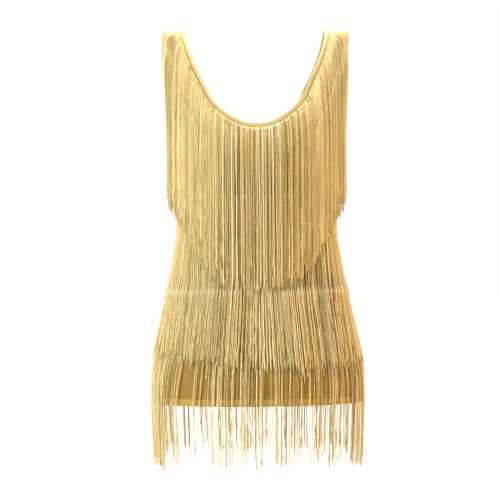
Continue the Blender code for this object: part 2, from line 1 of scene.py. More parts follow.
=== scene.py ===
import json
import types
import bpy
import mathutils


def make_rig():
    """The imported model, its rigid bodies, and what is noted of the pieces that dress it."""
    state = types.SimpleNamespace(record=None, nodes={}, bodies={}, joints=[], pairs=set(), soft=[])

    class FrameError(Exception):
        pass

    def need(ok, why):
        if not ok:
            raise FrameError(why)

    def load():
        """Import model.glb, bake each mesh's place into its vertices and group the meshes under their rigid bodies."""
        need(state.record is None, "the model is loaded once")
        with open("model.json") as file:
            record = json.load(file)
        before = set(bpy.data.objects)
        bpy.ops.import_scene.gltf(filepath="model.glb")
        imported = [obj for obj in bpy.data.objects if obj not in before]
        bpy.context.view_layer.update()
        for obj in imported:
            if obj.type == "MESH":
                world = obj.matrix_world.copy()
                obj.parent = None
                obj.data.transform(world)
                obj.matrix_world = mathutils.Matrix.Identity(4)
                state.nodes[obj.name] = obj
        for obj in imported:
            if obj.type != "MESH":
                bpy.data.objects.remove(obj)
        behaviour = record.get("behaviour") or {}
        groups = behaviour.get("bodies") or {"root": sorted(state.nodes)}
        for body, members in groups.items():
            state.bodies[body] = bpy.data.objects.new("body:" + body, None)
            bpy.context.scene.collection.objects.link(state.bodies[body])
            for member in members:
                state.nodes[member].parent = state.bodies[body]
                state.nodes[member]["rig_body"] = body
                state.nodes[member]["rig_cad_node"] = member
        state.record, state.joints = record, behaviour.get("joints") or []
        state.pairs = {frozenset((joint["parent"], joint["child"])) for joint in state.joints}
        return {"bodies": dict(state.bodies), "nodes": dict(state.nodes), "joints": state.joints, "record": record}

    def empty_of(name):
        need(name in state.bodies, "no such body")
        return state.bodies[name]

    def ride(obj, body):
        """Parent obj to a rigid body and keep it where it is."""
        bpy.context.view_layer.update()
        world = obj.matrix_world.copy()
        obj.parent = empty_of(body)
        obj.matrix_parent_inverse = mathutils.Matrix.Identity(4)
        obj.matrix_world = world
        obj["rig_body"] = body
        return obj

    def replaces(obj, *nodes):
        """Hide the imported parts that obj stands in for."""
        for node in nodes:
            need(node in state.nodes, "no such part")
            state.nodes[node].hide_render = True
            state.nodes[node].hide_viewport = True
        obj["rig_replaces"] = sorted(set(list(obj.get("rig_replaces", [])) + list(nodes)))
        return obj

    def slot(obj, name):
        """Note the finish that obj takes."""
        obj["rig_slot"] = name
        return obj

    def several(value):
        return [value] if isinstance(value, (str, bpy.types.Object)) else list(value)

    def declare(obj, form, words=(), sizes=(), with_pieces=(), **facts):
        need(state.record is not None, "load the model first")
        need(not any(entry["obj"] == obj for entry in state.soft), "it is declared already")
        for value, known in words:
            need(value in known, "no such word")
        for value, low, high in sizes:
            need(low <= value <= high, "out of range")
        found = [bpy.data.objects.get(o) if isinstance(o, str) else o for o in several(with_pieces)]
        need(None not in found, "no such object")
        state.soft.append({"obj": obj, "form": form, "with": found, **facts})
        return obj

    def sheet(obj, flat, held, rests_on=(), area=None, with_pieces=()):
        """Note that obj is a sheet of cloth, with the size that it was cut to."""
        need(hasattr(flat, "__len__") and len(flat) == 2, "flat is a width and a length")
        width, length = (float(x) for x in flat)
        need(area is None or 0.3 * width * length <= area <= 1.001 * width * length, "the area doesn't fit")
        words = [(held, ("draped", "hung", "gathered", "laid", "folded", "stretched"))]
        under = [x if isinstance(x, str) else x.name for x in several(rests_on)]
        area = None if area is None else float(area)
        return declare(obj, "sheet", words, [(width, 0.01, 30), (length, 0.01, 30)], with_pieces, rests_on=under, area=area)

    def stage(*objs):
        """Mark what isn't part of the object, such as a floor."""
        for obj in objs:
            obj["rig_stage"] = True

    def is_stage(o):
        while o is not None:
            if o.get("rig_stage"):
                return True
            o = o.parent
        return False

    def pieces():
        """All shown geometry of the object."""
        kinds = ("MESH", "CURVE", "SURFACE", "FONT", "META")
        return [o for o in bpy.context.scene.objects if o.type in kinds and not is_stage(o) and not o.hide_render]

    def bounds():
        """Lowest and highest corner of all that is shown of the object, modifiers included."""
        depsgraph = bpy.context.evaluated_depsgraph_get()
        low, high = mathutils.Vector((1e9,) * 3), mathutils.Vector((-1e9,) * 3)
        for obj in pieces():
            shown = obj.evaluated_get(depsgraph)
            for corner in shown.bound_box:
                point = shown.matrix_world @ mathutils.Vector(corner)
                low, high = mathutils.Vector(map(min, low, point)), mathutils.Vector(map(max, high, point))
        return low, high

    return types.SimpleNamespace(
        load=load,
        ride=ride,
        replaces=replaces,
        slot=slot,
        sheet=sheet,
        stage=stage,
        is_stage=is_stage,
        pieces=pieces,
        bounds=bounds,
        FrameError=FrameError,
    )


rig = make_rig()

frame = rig.load()

import json
import math

import bmesh
import bpy
import numpy as np

cad_bounds = [list(corner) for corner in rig.bounds()]
bpy.ops.object.select_all(action="DESELECT")


# The body of the dress: a front and a back panel of fine metallic knit, cut and sewn at the shoulders and sides.
# It keeps the form of the wearer. Its hem is turned up once and stands out a little. A panel's place is given by an
# angle round the body and a level, which is the distance down the cloth from the shoulder's ridge.

# Depth below the shoulder, half width, and reach of the front and of the back from the side seam
BODY_RINGS = np.array([
    (0.000, 0.186, 0.000, 0.000),
    (0.003, 0.186, 0.018, 0.018),
    (0.014, 0.185, 0.036, 0.036),
    (0.036, 0.182, 0.053, 0.055),
    (0.070, 0.176, 0.069, 0.072),
    (0.115, 0.167, 0.086, 0.087),
    (0.165, 0.157, 0.102, 0.096),
    (0.212, 0.148, 0.110, 0.098),
    (0.250, 0.141, 0.108, 0.095),
    (0.300, 0.135, 0.099, 0.089),
    (0.350, 0.133, 0.092, 0.087),
    (0.400, 0.140, 0.094, 0.095),
    (0.455, 0.151, 0.099, 0.107),
    (0.510, 0.164, 0.103, 0.116),
    (0.560, 0.175, 0.104, 0.119),
    (0.605, 0.182, 0.103, 0.118),
    (0.647, 0.183, 0.101, 0.115),
])
# Depth below the shoulder and half width of the finished neck edge
NECK_EDGE = np.array([
    (0.000, 0.1206),
    (0.034, 0.1145),
    (0.062, 0.1047),
    (0.091, 0.0915),
    (0.130, 0.0715),
    (0.152, 0.0480),
    (0.164, 0.0280),
    (0.169, 0.0000),
])
# Depth below the shoulder and angle from the centre front, in degrees, of the finished armhole edge
ARMHOLE_EDGE = np.array([
    (0.000, 56.0),
    (0.050, 53.5),
    (0.100, 55.0),
    (0.150, 60.0),
    (0.185, 69.0),
    (0.205, 80.0),
    (0.212, 90.0),
])
# Creases of the cloth: side, angle and depth of the middle, heading from level, length, width, and depth of the fold
CREASES = np.array([
    (-1, -52, 0.300, 14, 0.120, 0.009, -0.0012),
    (-1, -28, 0.338, -9, 0.150, 0.011, -0.0014),
    (-1, 22, 0.352, 7, 0.170, 0.010, -0.0015),
    (-1, 57, 0.318, -16, 0.110, 0.008, -0.0011),
    (-1, 8, 0.378, 2, 0.120, 0.013, 0.0010),
    (-1, -66, 0.222, 38, 0.070, 0.010, -0.0013),
    (-1, 68, 0.226, -36, 0.075, 0.009, -0.0012),
    (-1, -35, 0.575, 82, 0.110, 0.012, -0.0012),
    (-1, -12, 0.600, 94, 0.080, 0.010, 0.0010),
    (-1, 17, 0.588, 86, 0.100, 0.014, -0.0013),
    (-1, 41, 0.606, 97, 0.075, 0.010, 0.0009),
    (-1, 60, 0.570, 79, 0.120, 0.013, -0.0012),
    (1, -50, 0.345, 12, 0.130, 0.010, -0.0014),
    (1, -15, 0.362, -5, 0.180, 0.012, -0.0016),
    (1, 26, 0.336, 9, 0.150, 0.011, -0.0013),
    (1, 52, 0.372, -13, 0.110, 0.009, -0.0010),
    (1, -64, 0.226, 36, 0.080, 0.010, -0.0012),
    (1, 65, 0.222, -40, 0.070, 0.009, -0.0013),
    (1, -32, 0.590, 93, 0.100, 0.013, -0.0012),
    (1, 3, 0.604, 85, 0.080, 0.011, 0.0010),
    (1, 36, 0.580, 96, 0.110, 0.014, -0.0013),
])
# Metres of cloth for each radian round the body, and the power that squares its oval rings
ROUND_THE_BODY = 0.15
OVAL_POWER = 2.3
# How much the shoulders fall off outside the neck edge, and the level by which that has faded
SHOULDER_SLOPE = 0.10
SLOPE_FADE = 0.04
BACK_NECK_SHARE = 0.97
NECK_BINDING_WIDTH = 0.008
ARMHOLE_BINDING_WIDTH = 0.006
SEAM_GAP = 0.0001
SEAM_GAP_ANGLE = 0.0001
CLOTH = 0.0015
CREASE_BOW = 0.12
HEM_TURN_UP = 0.012
# How far the turned-up hem stands out, and the drop over which its edge rises to that
HEM_LIFT = 0.0006
HEM_STEP = 0.0006
# The groove at the side seams, and how a panel's rows dip from the centre to the sides
SEAM_WIDTH = 0.0025
SEAM_SINK = 0.0005
ROW_DIP = 1.6
# The panel's grid: rows beside the neck, below it, beside the armhole and in the turn-up, and columns of a half
NECK_ROWS = 44
BODY_ROWS = 72
ARMHOLE_ROWS = 40
TURN_UP_ROWS = 6
HALF_COLUMNS = 36
SHARP_EDGE = math.radians(50)


def through(knots, values, at, start=None, end=None):
    """A smooth curve through the values at the knots, with a stated slope at either end where one is given."""
    slopes = np.gradient(values, knots)
    slopes[0] = slopes[0] if start is None else start
    slopes[-1] = slopes[-1] if end is None else end
    at = np.asarray(at, float)
    i = np.clip(np.searchsorted(knots, at, side="right") - 1, 0, len(knots) - 2)
    span = knots[i + 1] - knots[i]
    u = (at - knots[i]) / span
    rest = 1 - u
    return (
        values[i] * (1 + 2 * u) * rest**2
        + slopes[i] * span * u * rest**2
        + values[i + 1] * u**2 * (3 - 2 * u)
        - slopes[i + 1] * span * u**2 * rest
    )


def running_length(points):
    """The distance along each line of points from its first one.

    The last two axes are the points of a line and their x, y, z.
    """
    steps = np.linalg.norm(np.diff(points, axis=-2), axis=-1)
    return np.concatenate([np.zeros(steps.shape[:-1] + (1,)), np.cumsum(steps, axis=-1)], axis=-1)


ring_depth, ring_half_width, ring_front, ring_back = BODY_RINGS.T
ring_level = running_length(np.stack([ring_depth, (ring_front + ring_back) / 2], axis=-1))
hem_level = ring_level[-1]
fine_levels = np.linspace(0.0, hem_level, 400)
fine_depths = through(ring_level, ring_depth, fine_levels, start=0.0)


def level_of(depth):
    return np.interp(depth, fine_depths, fine_levels)


def half_width_at(level):
    return through(ring_level, ring_half_width, np.abs(level), start=0.0)


def reach_at(level, side):
    """How far the cloth stands in front of the side seam (side -1) or behind it (side 1)."""
    reach = through(ring_level, ring_front if side < 0 else ring_back, np.abs(level), start=1.0)
    return np.sign(level) * reach


def cloth_point(angle, level, side, lift=0.0):
    """The cloth's outer face at an angle round from the centre, in radians, and a level."""
    level = np.asarray(level, float)
    across = np.abs(np.sin(angle)) ** (2 / OVAL_POWER) * np.sign(np.sin(angle))
    forward = np.abs(np.cos(angle)) ** (2 / OVAL_POWER) * np.sign(np.cos(angle))
    x = (half_width_at(level) + lift) * across
    y = side * (reach_at(level, side) + lift) * forward
    slope = SHOULDER_SLOPE * np.maximum(np.abs(x) - NECK_EDGE[0, 1], 0) * np.exp(-np.abs(level) / SLOPE_FADE)
    z = -through(ring_level, ring_depth, np.abs(level), start=0.0) - slope
    return np.stack(np.broadcast_arrays(x, y, z), axis=-1)


def unit(vectors):
    return vectors / np.linalg.norm(vectors, axis=-1, keepdims=True)


def cloth_directions(angle, level, side):
    """How far a point of the cloth moves for a small change of angle and of level."""
    step = 1e-4
    per_angle = cloth_point(angle + step, level, side) - cloth_point(angle - step, level, side)
    per_level = cloth_point(angle, level + step, side) - cloth_point(angle, level - step, side)
    return per_angle / (2 * step), per_level / (2 * step)


def cloth_normal(angle, level, side):
    """The direction out of the cloth."""
    per_angle, per_level = cloth_directions(angle, level, side)
    return unit(np.cross(per_angle, per_level) * side)


def moved_on_cloth(angle, level, side, move):
    """Angles and levels of points of the cloth after a short move over it."""
    per_angle, per_level = cloth_directions(angle, level, side)
    aa = (per_angle * per_angle).sum(axis=-1)
    ab = (per_angle * per_level).sum(axis=-1)
    bb = (per_level * per_level).sum(axis=-1)
    am = (per_angle * move).sum(axis=-1)
    bm = (per_level * move).sum(axis=-1)
    whole = aa * bb - ab**2
    return angle + (am * bb - bm * ab) / whole, level + (bm * aa - am * ab) / whole


def angle_of(x, level):
    """The angle round from the centre at which the cloth lies x to the side."""
    share = np.clip(np.abs(x) / half_width_at(level), 0, 1)
    return np.sign(x) * np.arcsin(share ** (OVAL_POWER / 2))


def neck_line(side, count):
    """Half of the finished neck edge, from the shoulder to the centre: angle and level."""
    levels = level_of(NECK_EDGE[:, 0] * (1.0 if side < 0 else BACK_NECK_SHARE))
    knots = running_length(np.stack([NECK_EDGE[:, 1], levels], axis=-1))
    at = knots[-1] * np.linspace(0, 1, count)
    x = through(knots, NECK_EDGE[:, 1], at, start=0.0, end=-1.0)
    level = through(knots, levels, at, start=1.0, end=0.0)
    return angle_of(x, level), level


def armhole_line(side, count):
    """Half of the finished armhole edge, from the shoulder to the side seam: angle and level."""
    levels = level_of(ARMHOLE_EDGE[:, 0])
    angles = np.radians(ARMHOLE_EDGE[:, 1])
    knots = running_length(np.stack([levels, angles * ROUND_THE_BODY], axis=-1))
    at = knots[-1] * np.linspace(0, 1, count)
    return through(knots, angles, at, start=0.0), through(knots, levels, at, start=1.0, end=0.0)


def edge_loop(line, count, toward):
    """A closed edge over the shoulders: its angle, level and side, and its directions into the cloth and out of it.

    The neck's edge (toward -1) goes round both shoulders, and an armhole's (toward 1) round one of them.
    """
    front_angle, front_level = line(-1, count)
    back_angle, back_level = line(1, count)
    if toward > 0:
        angle = np.concatenate([front_angle, back_angle[-2:0:-1]])
        level = np.concatenate([front_level, back_level[-2:0:-1]])
        side = np.array([-1] * count + [1] * (count - 2))
    else:
        angle = np.concatenate([front_angle, -front_angle[-2::-1], -back_angle[1:], back_angle[-2:0:-1]])
        level = np.concatenate([front_level, front_level[-2::-1], back_level[1:], back_level[-2:0:-1]])
        side = np.array([-1] * (2 * count - 1) + [1] * (2 * count - 3))
    points = np.array([cloth_point(*at) for at in zip(angle, level, side)])
    normal = np.array([cloth_normal(*at) for at in zip(angle, level, side)])
    along = unit(np.roll(points, -1, axis=0) - np.roll(points, 1, axis=0))
    into_cloth = unit(np.cross(along, normal)) * toward
    return angle, level, side, points, into_cloth, normal


def beside_edge(loop, count, side, distance):
    """One side's half of an edge loop, moved into the cloth: angle and level from the shoulder on."""
    angle, level, _, _, into_cloth, _ = loop
    order = np.arange(count) if side < 0 else -np.arange(count) % len(angle)
    angle, level = moved_on_cloth(angle[order], level[order], side, into_cloth[order] * distance)
    level[0] = SEAM_GAP / 2
    return angle, level


def crease_lift(angle, level, side):
    """How far the creases lift the cloth or sink it."""
    lift = np.zeros_like(level)
    for on, middle, depth, heading, length, width, fold in CREASES:
        if on != side:
            continue
        right = (angle - math.radians(middle)) * ROUND_THE_BODY
        down = level - level_of(depth)
        turn = math.radians(heading)
        along = right * math.cos(turn) + down * math.sin(turn)
        across = down * math.cos(turn) - right * math.sin(turn)
        bow = across - CREASE_BOW * along**2 / length
        fade = np.clip(1 - (2 * along / length) ** 2, 0, 1) ** 2
        lift += fold * fade * np.exp(-((bow / width) ** 2))
    return lift


def add_piece(name, data):
    """A new object with its origin where the dress has its own."""
    piece = bpy.data.objects.new(name, data)
    bpy.context.collection.objects.link(piece)
    return piece


def add_built(name, bm):
    """A new piece of the mesh that was built."""
    mesh = bpy.data.meshes.new(name)
    bm.to_mesh(mesh)
    bm.free()
    return add_piece(name, mesh)


neck_loop = edge_loop(neck_line, NECK_ROWS, toward=-1)
armhole_loop = edge_loop(armhole_line, ARMHOLE_ROWS, toward=1)
turn_level = hem_level - HEM_TURN_UP


def model_panel(name, side):
    """A panel's outer face as two halves of a grid, with its creases, and a wall set inwards from it."""
    turn_up = np.linspace(turn_level, hem_level, TURN_UP_ROWS)
    neck_angle, neck_level = beside_edge(neck_loop, NECK_ROWS, side, NECK_BINDING_WIDTH + SEAM_GAP)
    neck_angle[-1] = 0.0
    centre_levels = np.linspace(neck_level[-1], turn_level - HEM_STEP, BODY_ROWS)[1:]
    inner_level = np.concatenate([neck_level, centre_levels, turn_up])
    inner_angle = np.concatenate([neck_angle, np.zeros(BODY_ROWS - 1 + TURN_UP_ROWS)])
    arm_angle, arm_level = beside_edge(armhole_loop, ARMHOLE_ROWS, side, ARMHOLE_BINDING_WIDTH + SEAM_GAP)
    seam_angle = math.pi / 2 - SEAM_GAP_ANGLE
    arm_angle[-1] = seam_angle
    seam_rows = NECK_ROWS + BODY_ROWS - 1 - ARMHOLE_ROWS
    seam_levels = np.linspace(arm_level[-1], turn_level - HEM_STEP, seam_rows + 1)[1:]
    outer_level = np.concatenate([arm_level, seam_levels, turn_up])
    outer_angle = np.concatenate([arm_angle, np.full(seam_rows + TURN_UP_ROWS, seam_angle)])
    share = np.linspace(0, 1, HALF_COLUMNS)
    angle = inner_angle[:, None] + (outer_angle - inner_angle)[:, None] * share
    level = inner_level[:, None] + (outer_level - inner_level)[:, None] * (1 - (1 - share) ** ROW_DIP)

    bm = bmesh.new()
    layer = bm.loops.layers.uv.new("cut")
    for hand in (1, -1):
        lift = crease_lift(angle * hand, level, side)
        lift += HEM_LIFT * np.clip((level - turn_level + HEM_STEP) / HEM_STEP, 0, 1)
        from_seam = (math.pi / 2 - angle) * half_width_at(level)
        lift -= SEAM_SINK * np.exp(-((from_seam / SEAM_WIDTH) ** 2))
        points = cloth_point(angle * hand, level, side, lift)
        cut = np.stack([angle * hand * ROUND_THE_BODY, level], axis=-1)
        verts = [[bm.verts.new(p) for p in row] for row in points]
        for r in range(len(points) - 1):
            for c in range(HALF_COLUMNS - 1):
                corners = [(r, c), (r + 1, c), (r + 1, c + 1), (r, c + 1)]
                if side * hand > 0:
                    corners.reverse()
                face = bm.faces.new([verts[i][j] for i, j in corners])
                face.smooth = True
                for loop, (i, j) in zip(face.loops, corners):
                    loop[layer].uv = cut[i, j]
    bmesh.ops.remove_doubles(bm, verts=bm.verts, dist=1e-5)
    panel = add_built(name, bm)
    bpy.context.view_layer.objects.active = panel
    panel.select_set(True)
    wall = panel.modifiers.new("Cloth", "SOLIDIFY")
    wall.thickness = CLOTH
    wall.offset = -1.0
    bpy.ops.object.modifier_apply(modifier="Cloth")
    bpy.ops.object.shade_smooth_by_angle(angle=SHARP_EDGE)
    panel.select_set(False)
    return panel


class Number:
    """A socket that holds a number. Python's operators on it add Math nodes."""

    def __init__(self, tree, socket):
        self.tree = tree
        self.socket = socket

    def maths(self, operation, first, second=0.0):
        made = self.tree.nodes.new("ShaderNodeMath")
        made.operation = operation
        for place, value in enumerate((first, second)):
            if isinstance(value, Number):
                self.tree.links.new(value.socket, made.inputs[place])
            else:
                made.inputs[place].default_value = value
        return Number(self.tree, made.outputs[0])

    def __add__(self, other):
        return self.maths("ADD", self, other)

    def __sub__(self, other):
        return self.maths("SUBTRACT", self, other)

    def __rsub__(self, other):
        return self.maths("SUBTRACT", other, self)

    def __mul__(self, other):
        return self.maths("MULTIPLY", self, other)

    def __abs__(self):
        return self.maths("ABSOLUTE", self)

    def wave(self, pitch):
        """A smooth wave from 0 to 1 that repeats once every pitch."""
        return self.maths("SINE", self * (2 * math.pi / pitch)) * 0.5 + 0.5

    __radd__ = __add__
    __rmul__ = __mul__


class Finish:
    """A material, and one way to add any node to it."""

    def __init__(self, name, roughness, metallic, sheen=0.0, specular=0.5):
        self.material = bpy.data.materials.new(name)
        self.material.use_nodes = True
        self.tree = self.material.node_tree
        self.shader = self.tree.nodes["Principled BSDF"]
        self.shader.inputs["Roughness"].default_value = roughness
        self.shader.inputs["Metallic"].default_value = metallic
        self.shader.inputs["Sheen Weight"].default_value = sheen
        self.shader.inputs["Specular IOR Level"].default_value = specular

    def node(self, kind, settings={}, sockets={}, output=0):
        made = self.tree.nodes.new(kind)
        for name, value in settings.items():
            if name == "stops":
                while len(made.color_ramp.elements) < len(value):
                    made.color_ramp.elements.new(0.5)
                for stop, (place, colour) in zip(made.color_ramp.elements, value):
                    stop.position = place
                    stop.color = (*colour, 1.0)
            else:
                setattr(made, name, value)
        for name, value in sockets.items():
            if isinstance(value, Number):
                self.tree.links.new(value.socket, made.inputs[name])
            else:
                made.inputs[name].default_value = value
        return Number(self.tree, made.outputs[output])

    def feed(self, name, value):
        self.tree.links.new(value.socket, self.shader.inputs[name])

    def noise(self, scale, stretch=(1, 1, 1), detail=2.0):
        """A cloudy pattern in object coordinates."""
        place = self.node("ShaderNodeTexCoord", output="Object")
        placed = self.node("ShaderNodeMapping", {}, {"Vector": place, "Scale": stretch})
        return self.node("ShaderNodeTexNoise", {}, {"Vector": placed, "Scale": scale, "Detail": detail})

    def ramp(self, value, *stops):
        return self.node("ShaderNodeValToRGB", {"stops": stops}, {"Fac": value})

    def bump(self, height, distance, strength):
        sockets = {"Height": height, "Distance": distance, "Strength": strength}
        self.feed("Normal", self.node("ShaderNodeBump", {}, sockets))

    def surface(self, name):
        """The two numbers of a UV map, in metres of cloth."""
        split = {"Vector": self.node("ShaderNodeUVMap", {"uv_map": name})}
        return [self.node("ShaderNodeSeparateXYZ", {}, split, output=i) for i in (0, 1)]


# How high a stitch's V is, in courses, and the shares of its ribs and rows in the relief
V_HEIGHT = 0.8
RIB_RELIEF = 0.6
ROW_RELIEF = 0.4
# The shares of the stitches, of slow clouds and of the yarn's painted glitter in the tone, and the painted highlight
# of the turned-up hem
STITCH_TONE = 0.35
CLOUD_TONE = 0.40
GLITTER_TONE = 0.30
HEM_HIGHLIGHT = 0.24


def knit_finish(name, wale, course, shadow, middle, glint, roughness, turned_up=None):
    """Fine knit with a metallic yarn in it: rows of small V-shaped stitches that catch the light unevenly, and painted
    glitter.

    Below the level turned_up it lies double, drawn smooth, and is painted lighter there: a painted highlight.
    """
    finish = Finish(name, roughness, metallic=0.25, sheen=0.15)
    across, down = finish.surface("cut")
    rib = across.wave(wale)
    stitch = (down + abs(rib - 0.5) * (course * V_HEIGHT)).wave(course)
    height = rib * RIB_RELIEF + stitch * ROW_RELIEF
    cloud = finish.noise(26.0, detail=3.0)
    # Painted highlight: the yarn's glitter, painted into the colour as well as into the roughness
    yarn = finish.noise(900.0, stretch=(1.0, 1.0, 0.5), detail=1.0)
    tone = height * STITCH_TONE + cloud * CLOUD_TONE + yarn * GLITTER_TONE
    if turned_up:
        # Painted highlight: the turned-up hem is painted lighter
        tone = tone + down.maths("GREATER_THAN", down, turned_up) * HEM_HIGHLIGHT
    finish.feed("Base Color", finish.ramp(tone, (0.25, shadow), (0.52, middle), (0.80, glint)))
    finish.feed("Roughness", finish.ramp(yarn, (0.3, (roughness + 0.08,) * 3), (0.7, (roughness - 0.10,) * 3)))
    finish.bump(height, distance=0.00025, strength=0.8)
    return finish.material


knit = knit_finish(
    "metallic knit",
    wale=0.0016,
    course=0.0013,
    shadow=(0.155, 0.080, 0.004),
    middle=(0.275, 0.158, 0.012),
    glint=(0.46, 0.295, 0.042),
    roughness=0.58,
    turned_up=turn_level,
)
front_panel = model_panel("front_cloth", -1)
back_panel = model_panel("back_cloth", 1)
for panel, node in ((front_panel, "front_panel"), (back_panel, "back_panel")):
    panel.data.materials.append(knit)
    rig.replaces(panel, node)
    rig.ride(panel, "root")
    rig.slot(panel, "knit")


# The neck binding: one strip of the same yarn in a finer, smoother knit, folded over the raw edge and sewn down
# round the whole neck. It is 8 mm wide and stands a little proud of the body's cloth on both faces.
BINDING_THICKNESS = 0.0026
BINDING_SECTION_POINTS = 14
# Powers that make the section's edges round and its faces flat
EDGE_POWER = 0.75
FACE_POWER = 0.45
FINE_NECK_ROWS = 150


def model_binding(name, loop, width, hand):
    """The folded strip, swept round a closed edge in the thickness of the cloth."""
    _, _, _, edge, into_cloth, normal = loop
    middle = edge - normal * CLOTH / 2
    turn = np.linspace(0, 2 * np.pi, BINDING_SECTION_POINTS, endpoint=False)
    over = width / 2 * (1 - np.sign(np.cos(turn)) * np.abs(np.cos(turn)) ** EDGE_POWER)
    rise = BINDING_THICKNESS / 2 * np.sign(np.sin(turn)) * np.abs(np.sin(turn)) ** FACE_POWER
    sections = middle[:, None] + into_cloth[:, None] * over[:, None] + normal[:, None] * rise[:, None]
    sections = sections * (hand, 1, 1)
    distance = running_length(np.concatenate([edge, edge[:1]]))
    bm = bmesh.new()
    layer = bm.loops.layers.uv.new("cut")
    rings = [[bm.verts.new(p) for p in section] for section in sections]
    for r in range(len(rings)):
        for i in range(BINDING_SECTION_POINTS):
            j = (i + 1) % BINDING_SECTION_POINTS
            after = (r + 1) % len(rings)
            face = bm.faces.new([rings[r][i], rings[r][j], rings[after][j], rings[after][i]])
            face.smooth = True
            for corner, (further, k) in zip(face.loops, ((0, i), (0, j), (1, j), (1, i))):
                corner[layer].uv = (distance[r + further], over[k])
    bmesh.ops.recalc_face_normals(bm, faces=bm.faces)
    return add_built(name, bm)


smooth_knit = knit_finish(
    "binding knit",
    wale=0.0011,
    course=0.0011,
    shadow=(0.34, 0.245, 0.075),
    middle=(0.51, 0.39, 0.15),
    glint=(0.68, 0.56, 0.29),
    roughness=0.46,
)
fine_neck = edge_loop(neck_line, FINE_NECK_ROWS, toward=-1)
neck_binding = model_binding("neck_strip", fine_neck, NECK_BINDING_WIDTH, 1)
neck_binding.data.materials.append(smooth_knit)
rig.replaces(neck_binding, "neck_binding")
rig.ride(neck_binding, "root")
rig.slot(neck_binding, "binding")


# The armhole bindings: the same knitted strip, 6 mm wide and folded over the raw edge in the same way. One goes
# round each armhole, from the shoulder's ridge down to the side seam and up again.
FINE_ARMHOLE_ROWS = 110
fine_armhole = edge_loop(armhole_line, FINE_ARMHOLE_ROWS, toward=1)
armhole_strips = []
for name, node, hand in (
    ("armhole_strip_right", "armhole_binding_right", 1),
    ("armhole_strip_left", "armhole_binding_left", -1),
):
    armhole_binding = model_binding(name, fine_armhole, ARMHOLE_BINDING_WIDTH, hand)
    armhole_binding.data.materials.append(smooth_knit)
    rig.replaces(armhole_binding, node)
    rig.ride(armhole_binding, "root")
    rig.slot(armhole_binding, "binding")
    armhole_strips.append(armhole_binding)


# The fringe: three tiers of chainette fringe, front and back, each sewn on by a narrow header tape. Every strand is
# a small knitted chain about 1.5 mm thick and 29 cm long. The strands hang in two rows, cling together towards
# their ends, and slide out over the bust and the hips.
STRAND_LENGTH = 0.295
STRAND_RADIUS = 0.00074
# How unlike the strands are: their thickness, and their tone, with some much darker or lighter than the rest
THICKNESS_RANGE = (0.85, 1.15)
TONE_SCATTER = 0.16
ODD_TONES = (-0.38, 0.0, 0.40)
ODD_SHARES = (0.2, 0.62, 0.18)
ROOT_THINNING = 0.5
END_THINNING = 0.6
TAPE_WIDTH = 0.005
TAPE_THICKNESS = 0.0012
TAPE_LIFT = 0.0005
STRAND_RISE = 0.0006
ON_TAPE = TAPE_LIFT + TAPE_THICKNESS + STRAND_RISE
TAPE_MARGIN = 0.001
TAPE_STEP = 0.003
# The roots: how far down the tape they are caught and how unevenly, and how far out their two rows hang
ROOT_DOWN = 0.0006
ROOT_SCATTER = 0.0003
OUTER_ROW = 0.0009
INNER_ROW = -0.0008
ROW_SCATTER = 0.0004
# The drop in which strands ride out to their own layer
LAYER_RUN = 0.035
HANG_STEP = 0.004
SLIDE_ACROSS = 0.5
PUSHES = 4
# Level beside the armhole, and how many degrees past its edge the binding still carries strands
ARMHOLE_MARGIN = np.array([(0.04, 0.0), (0.09, 4.0)])
# The share of a strand's length in which the pull together grows to its full size, and how uneven that size is
CLING_RUN = 0.4
CLING_RANGE = (0.4, 1.2)
# Shares of strands that end close together, well above the rest and below them, and how close the first ones end
END_SHARES = (0.58, 0.30, 0.12)
CLOSE_ENDS = (-0.010, 0.004)
CHAIN_PITCH = 0.0024
PATTERN_SHIFT = 3.0
# Gives a strand that is plumb a direction across it
ANY_WAY = (0.001, 0.002, 0.0)
# The shares in a strand's tone of its shade, its loops, dull patches and painted glints, and what is taken off it
SHADE_TONE = 0.82
LOOP_TONE = 0.22
DULL_TONE = 0.14
GLINT_TONE = 0.34
TONE_OFF = 0.27
# How unlike strands look where they lie close, as a share of what they do where they part
CLOSE_CONTRAST = 0.3
# The header tape's weave: pitch of its ribs and of its rows, and their shares in the relief
RIB_PITCH = 0.0017
ROW_PITCH = 0.0016
TAPE_RIBS = 0.7
TAPE_ROWS = 0.3


def body_shares(points, side):
    """How far across and out points lie, as shares of the body's half width and reach there, and its level."""
    level = level_of(np.minimum(-points[..., 2], ring_depth[-1]))
    half_width = half_width_at(level)
    reach = np.maximum(reach_at(level, side), 1e-6)
    return np.abs(points[..., 0]) / half_width, np.abs(points[..., 1]) / reach, half_width, reach, level


def ring_slope(points, side):
    """How far outside the body's ring points are, as a share, and the direction square out of it."""
    share_x, share_y, half_width, reach, _ = body_shares(points, side)
    slope_x = OVAL_POWER * share_x ** (OVAL_POWER - 1) / half_width * np.sign(points[..., 0])
    slope_y = OVAL_POWER * share_y ** (OVAL_POWER - 1) / reach * side
    outside = share_x**OVAL_POWER + share_y**OVAL_POWER - 1
    return outside, np.stack([slope_x, slope_y], axis=-1)


EDGE_POINTS = 60
open_angle, open_level = armhole_line(-1, EDGE_POINTS)


def over_armhole(points, side):
    """Where points beside the body are off the cloth, because the armhole is open."""
    share_x, share_y, _, _, level = body_shares(points, side)
    angle = np.arctan2(share_x ** (OVAL_POWER / 2), share_y ** (OVAL_POWER / 2))
    margin = np.radians(np.interp(level, *ARMHOLE_MARGIN.T))
    open_from = np.interp(level, open_level, open_angle) + margin
    return (level < open_level[-1]) & (angle > open_from)


def push_clear(points, clear, side):
    """Moves points out of the body, more forwards than across, until they are clear of the cloth."""
    free = over_armhole(points, side)
    for _ in range(PUSHES):
        outside, slope = ring_slope(points, side)
        size = np.linalg.norm(slope, axis=-1)
        way = unit(slope * (SLIDE_ACROSS, 1.0))
        gain = (way * slope).sum(axis=-1) / size
        short = np.where(free, 0.0, np.maximum(clear - outside / size, 0.0)) / gain
        points[..., :2] += way * short[..., None]


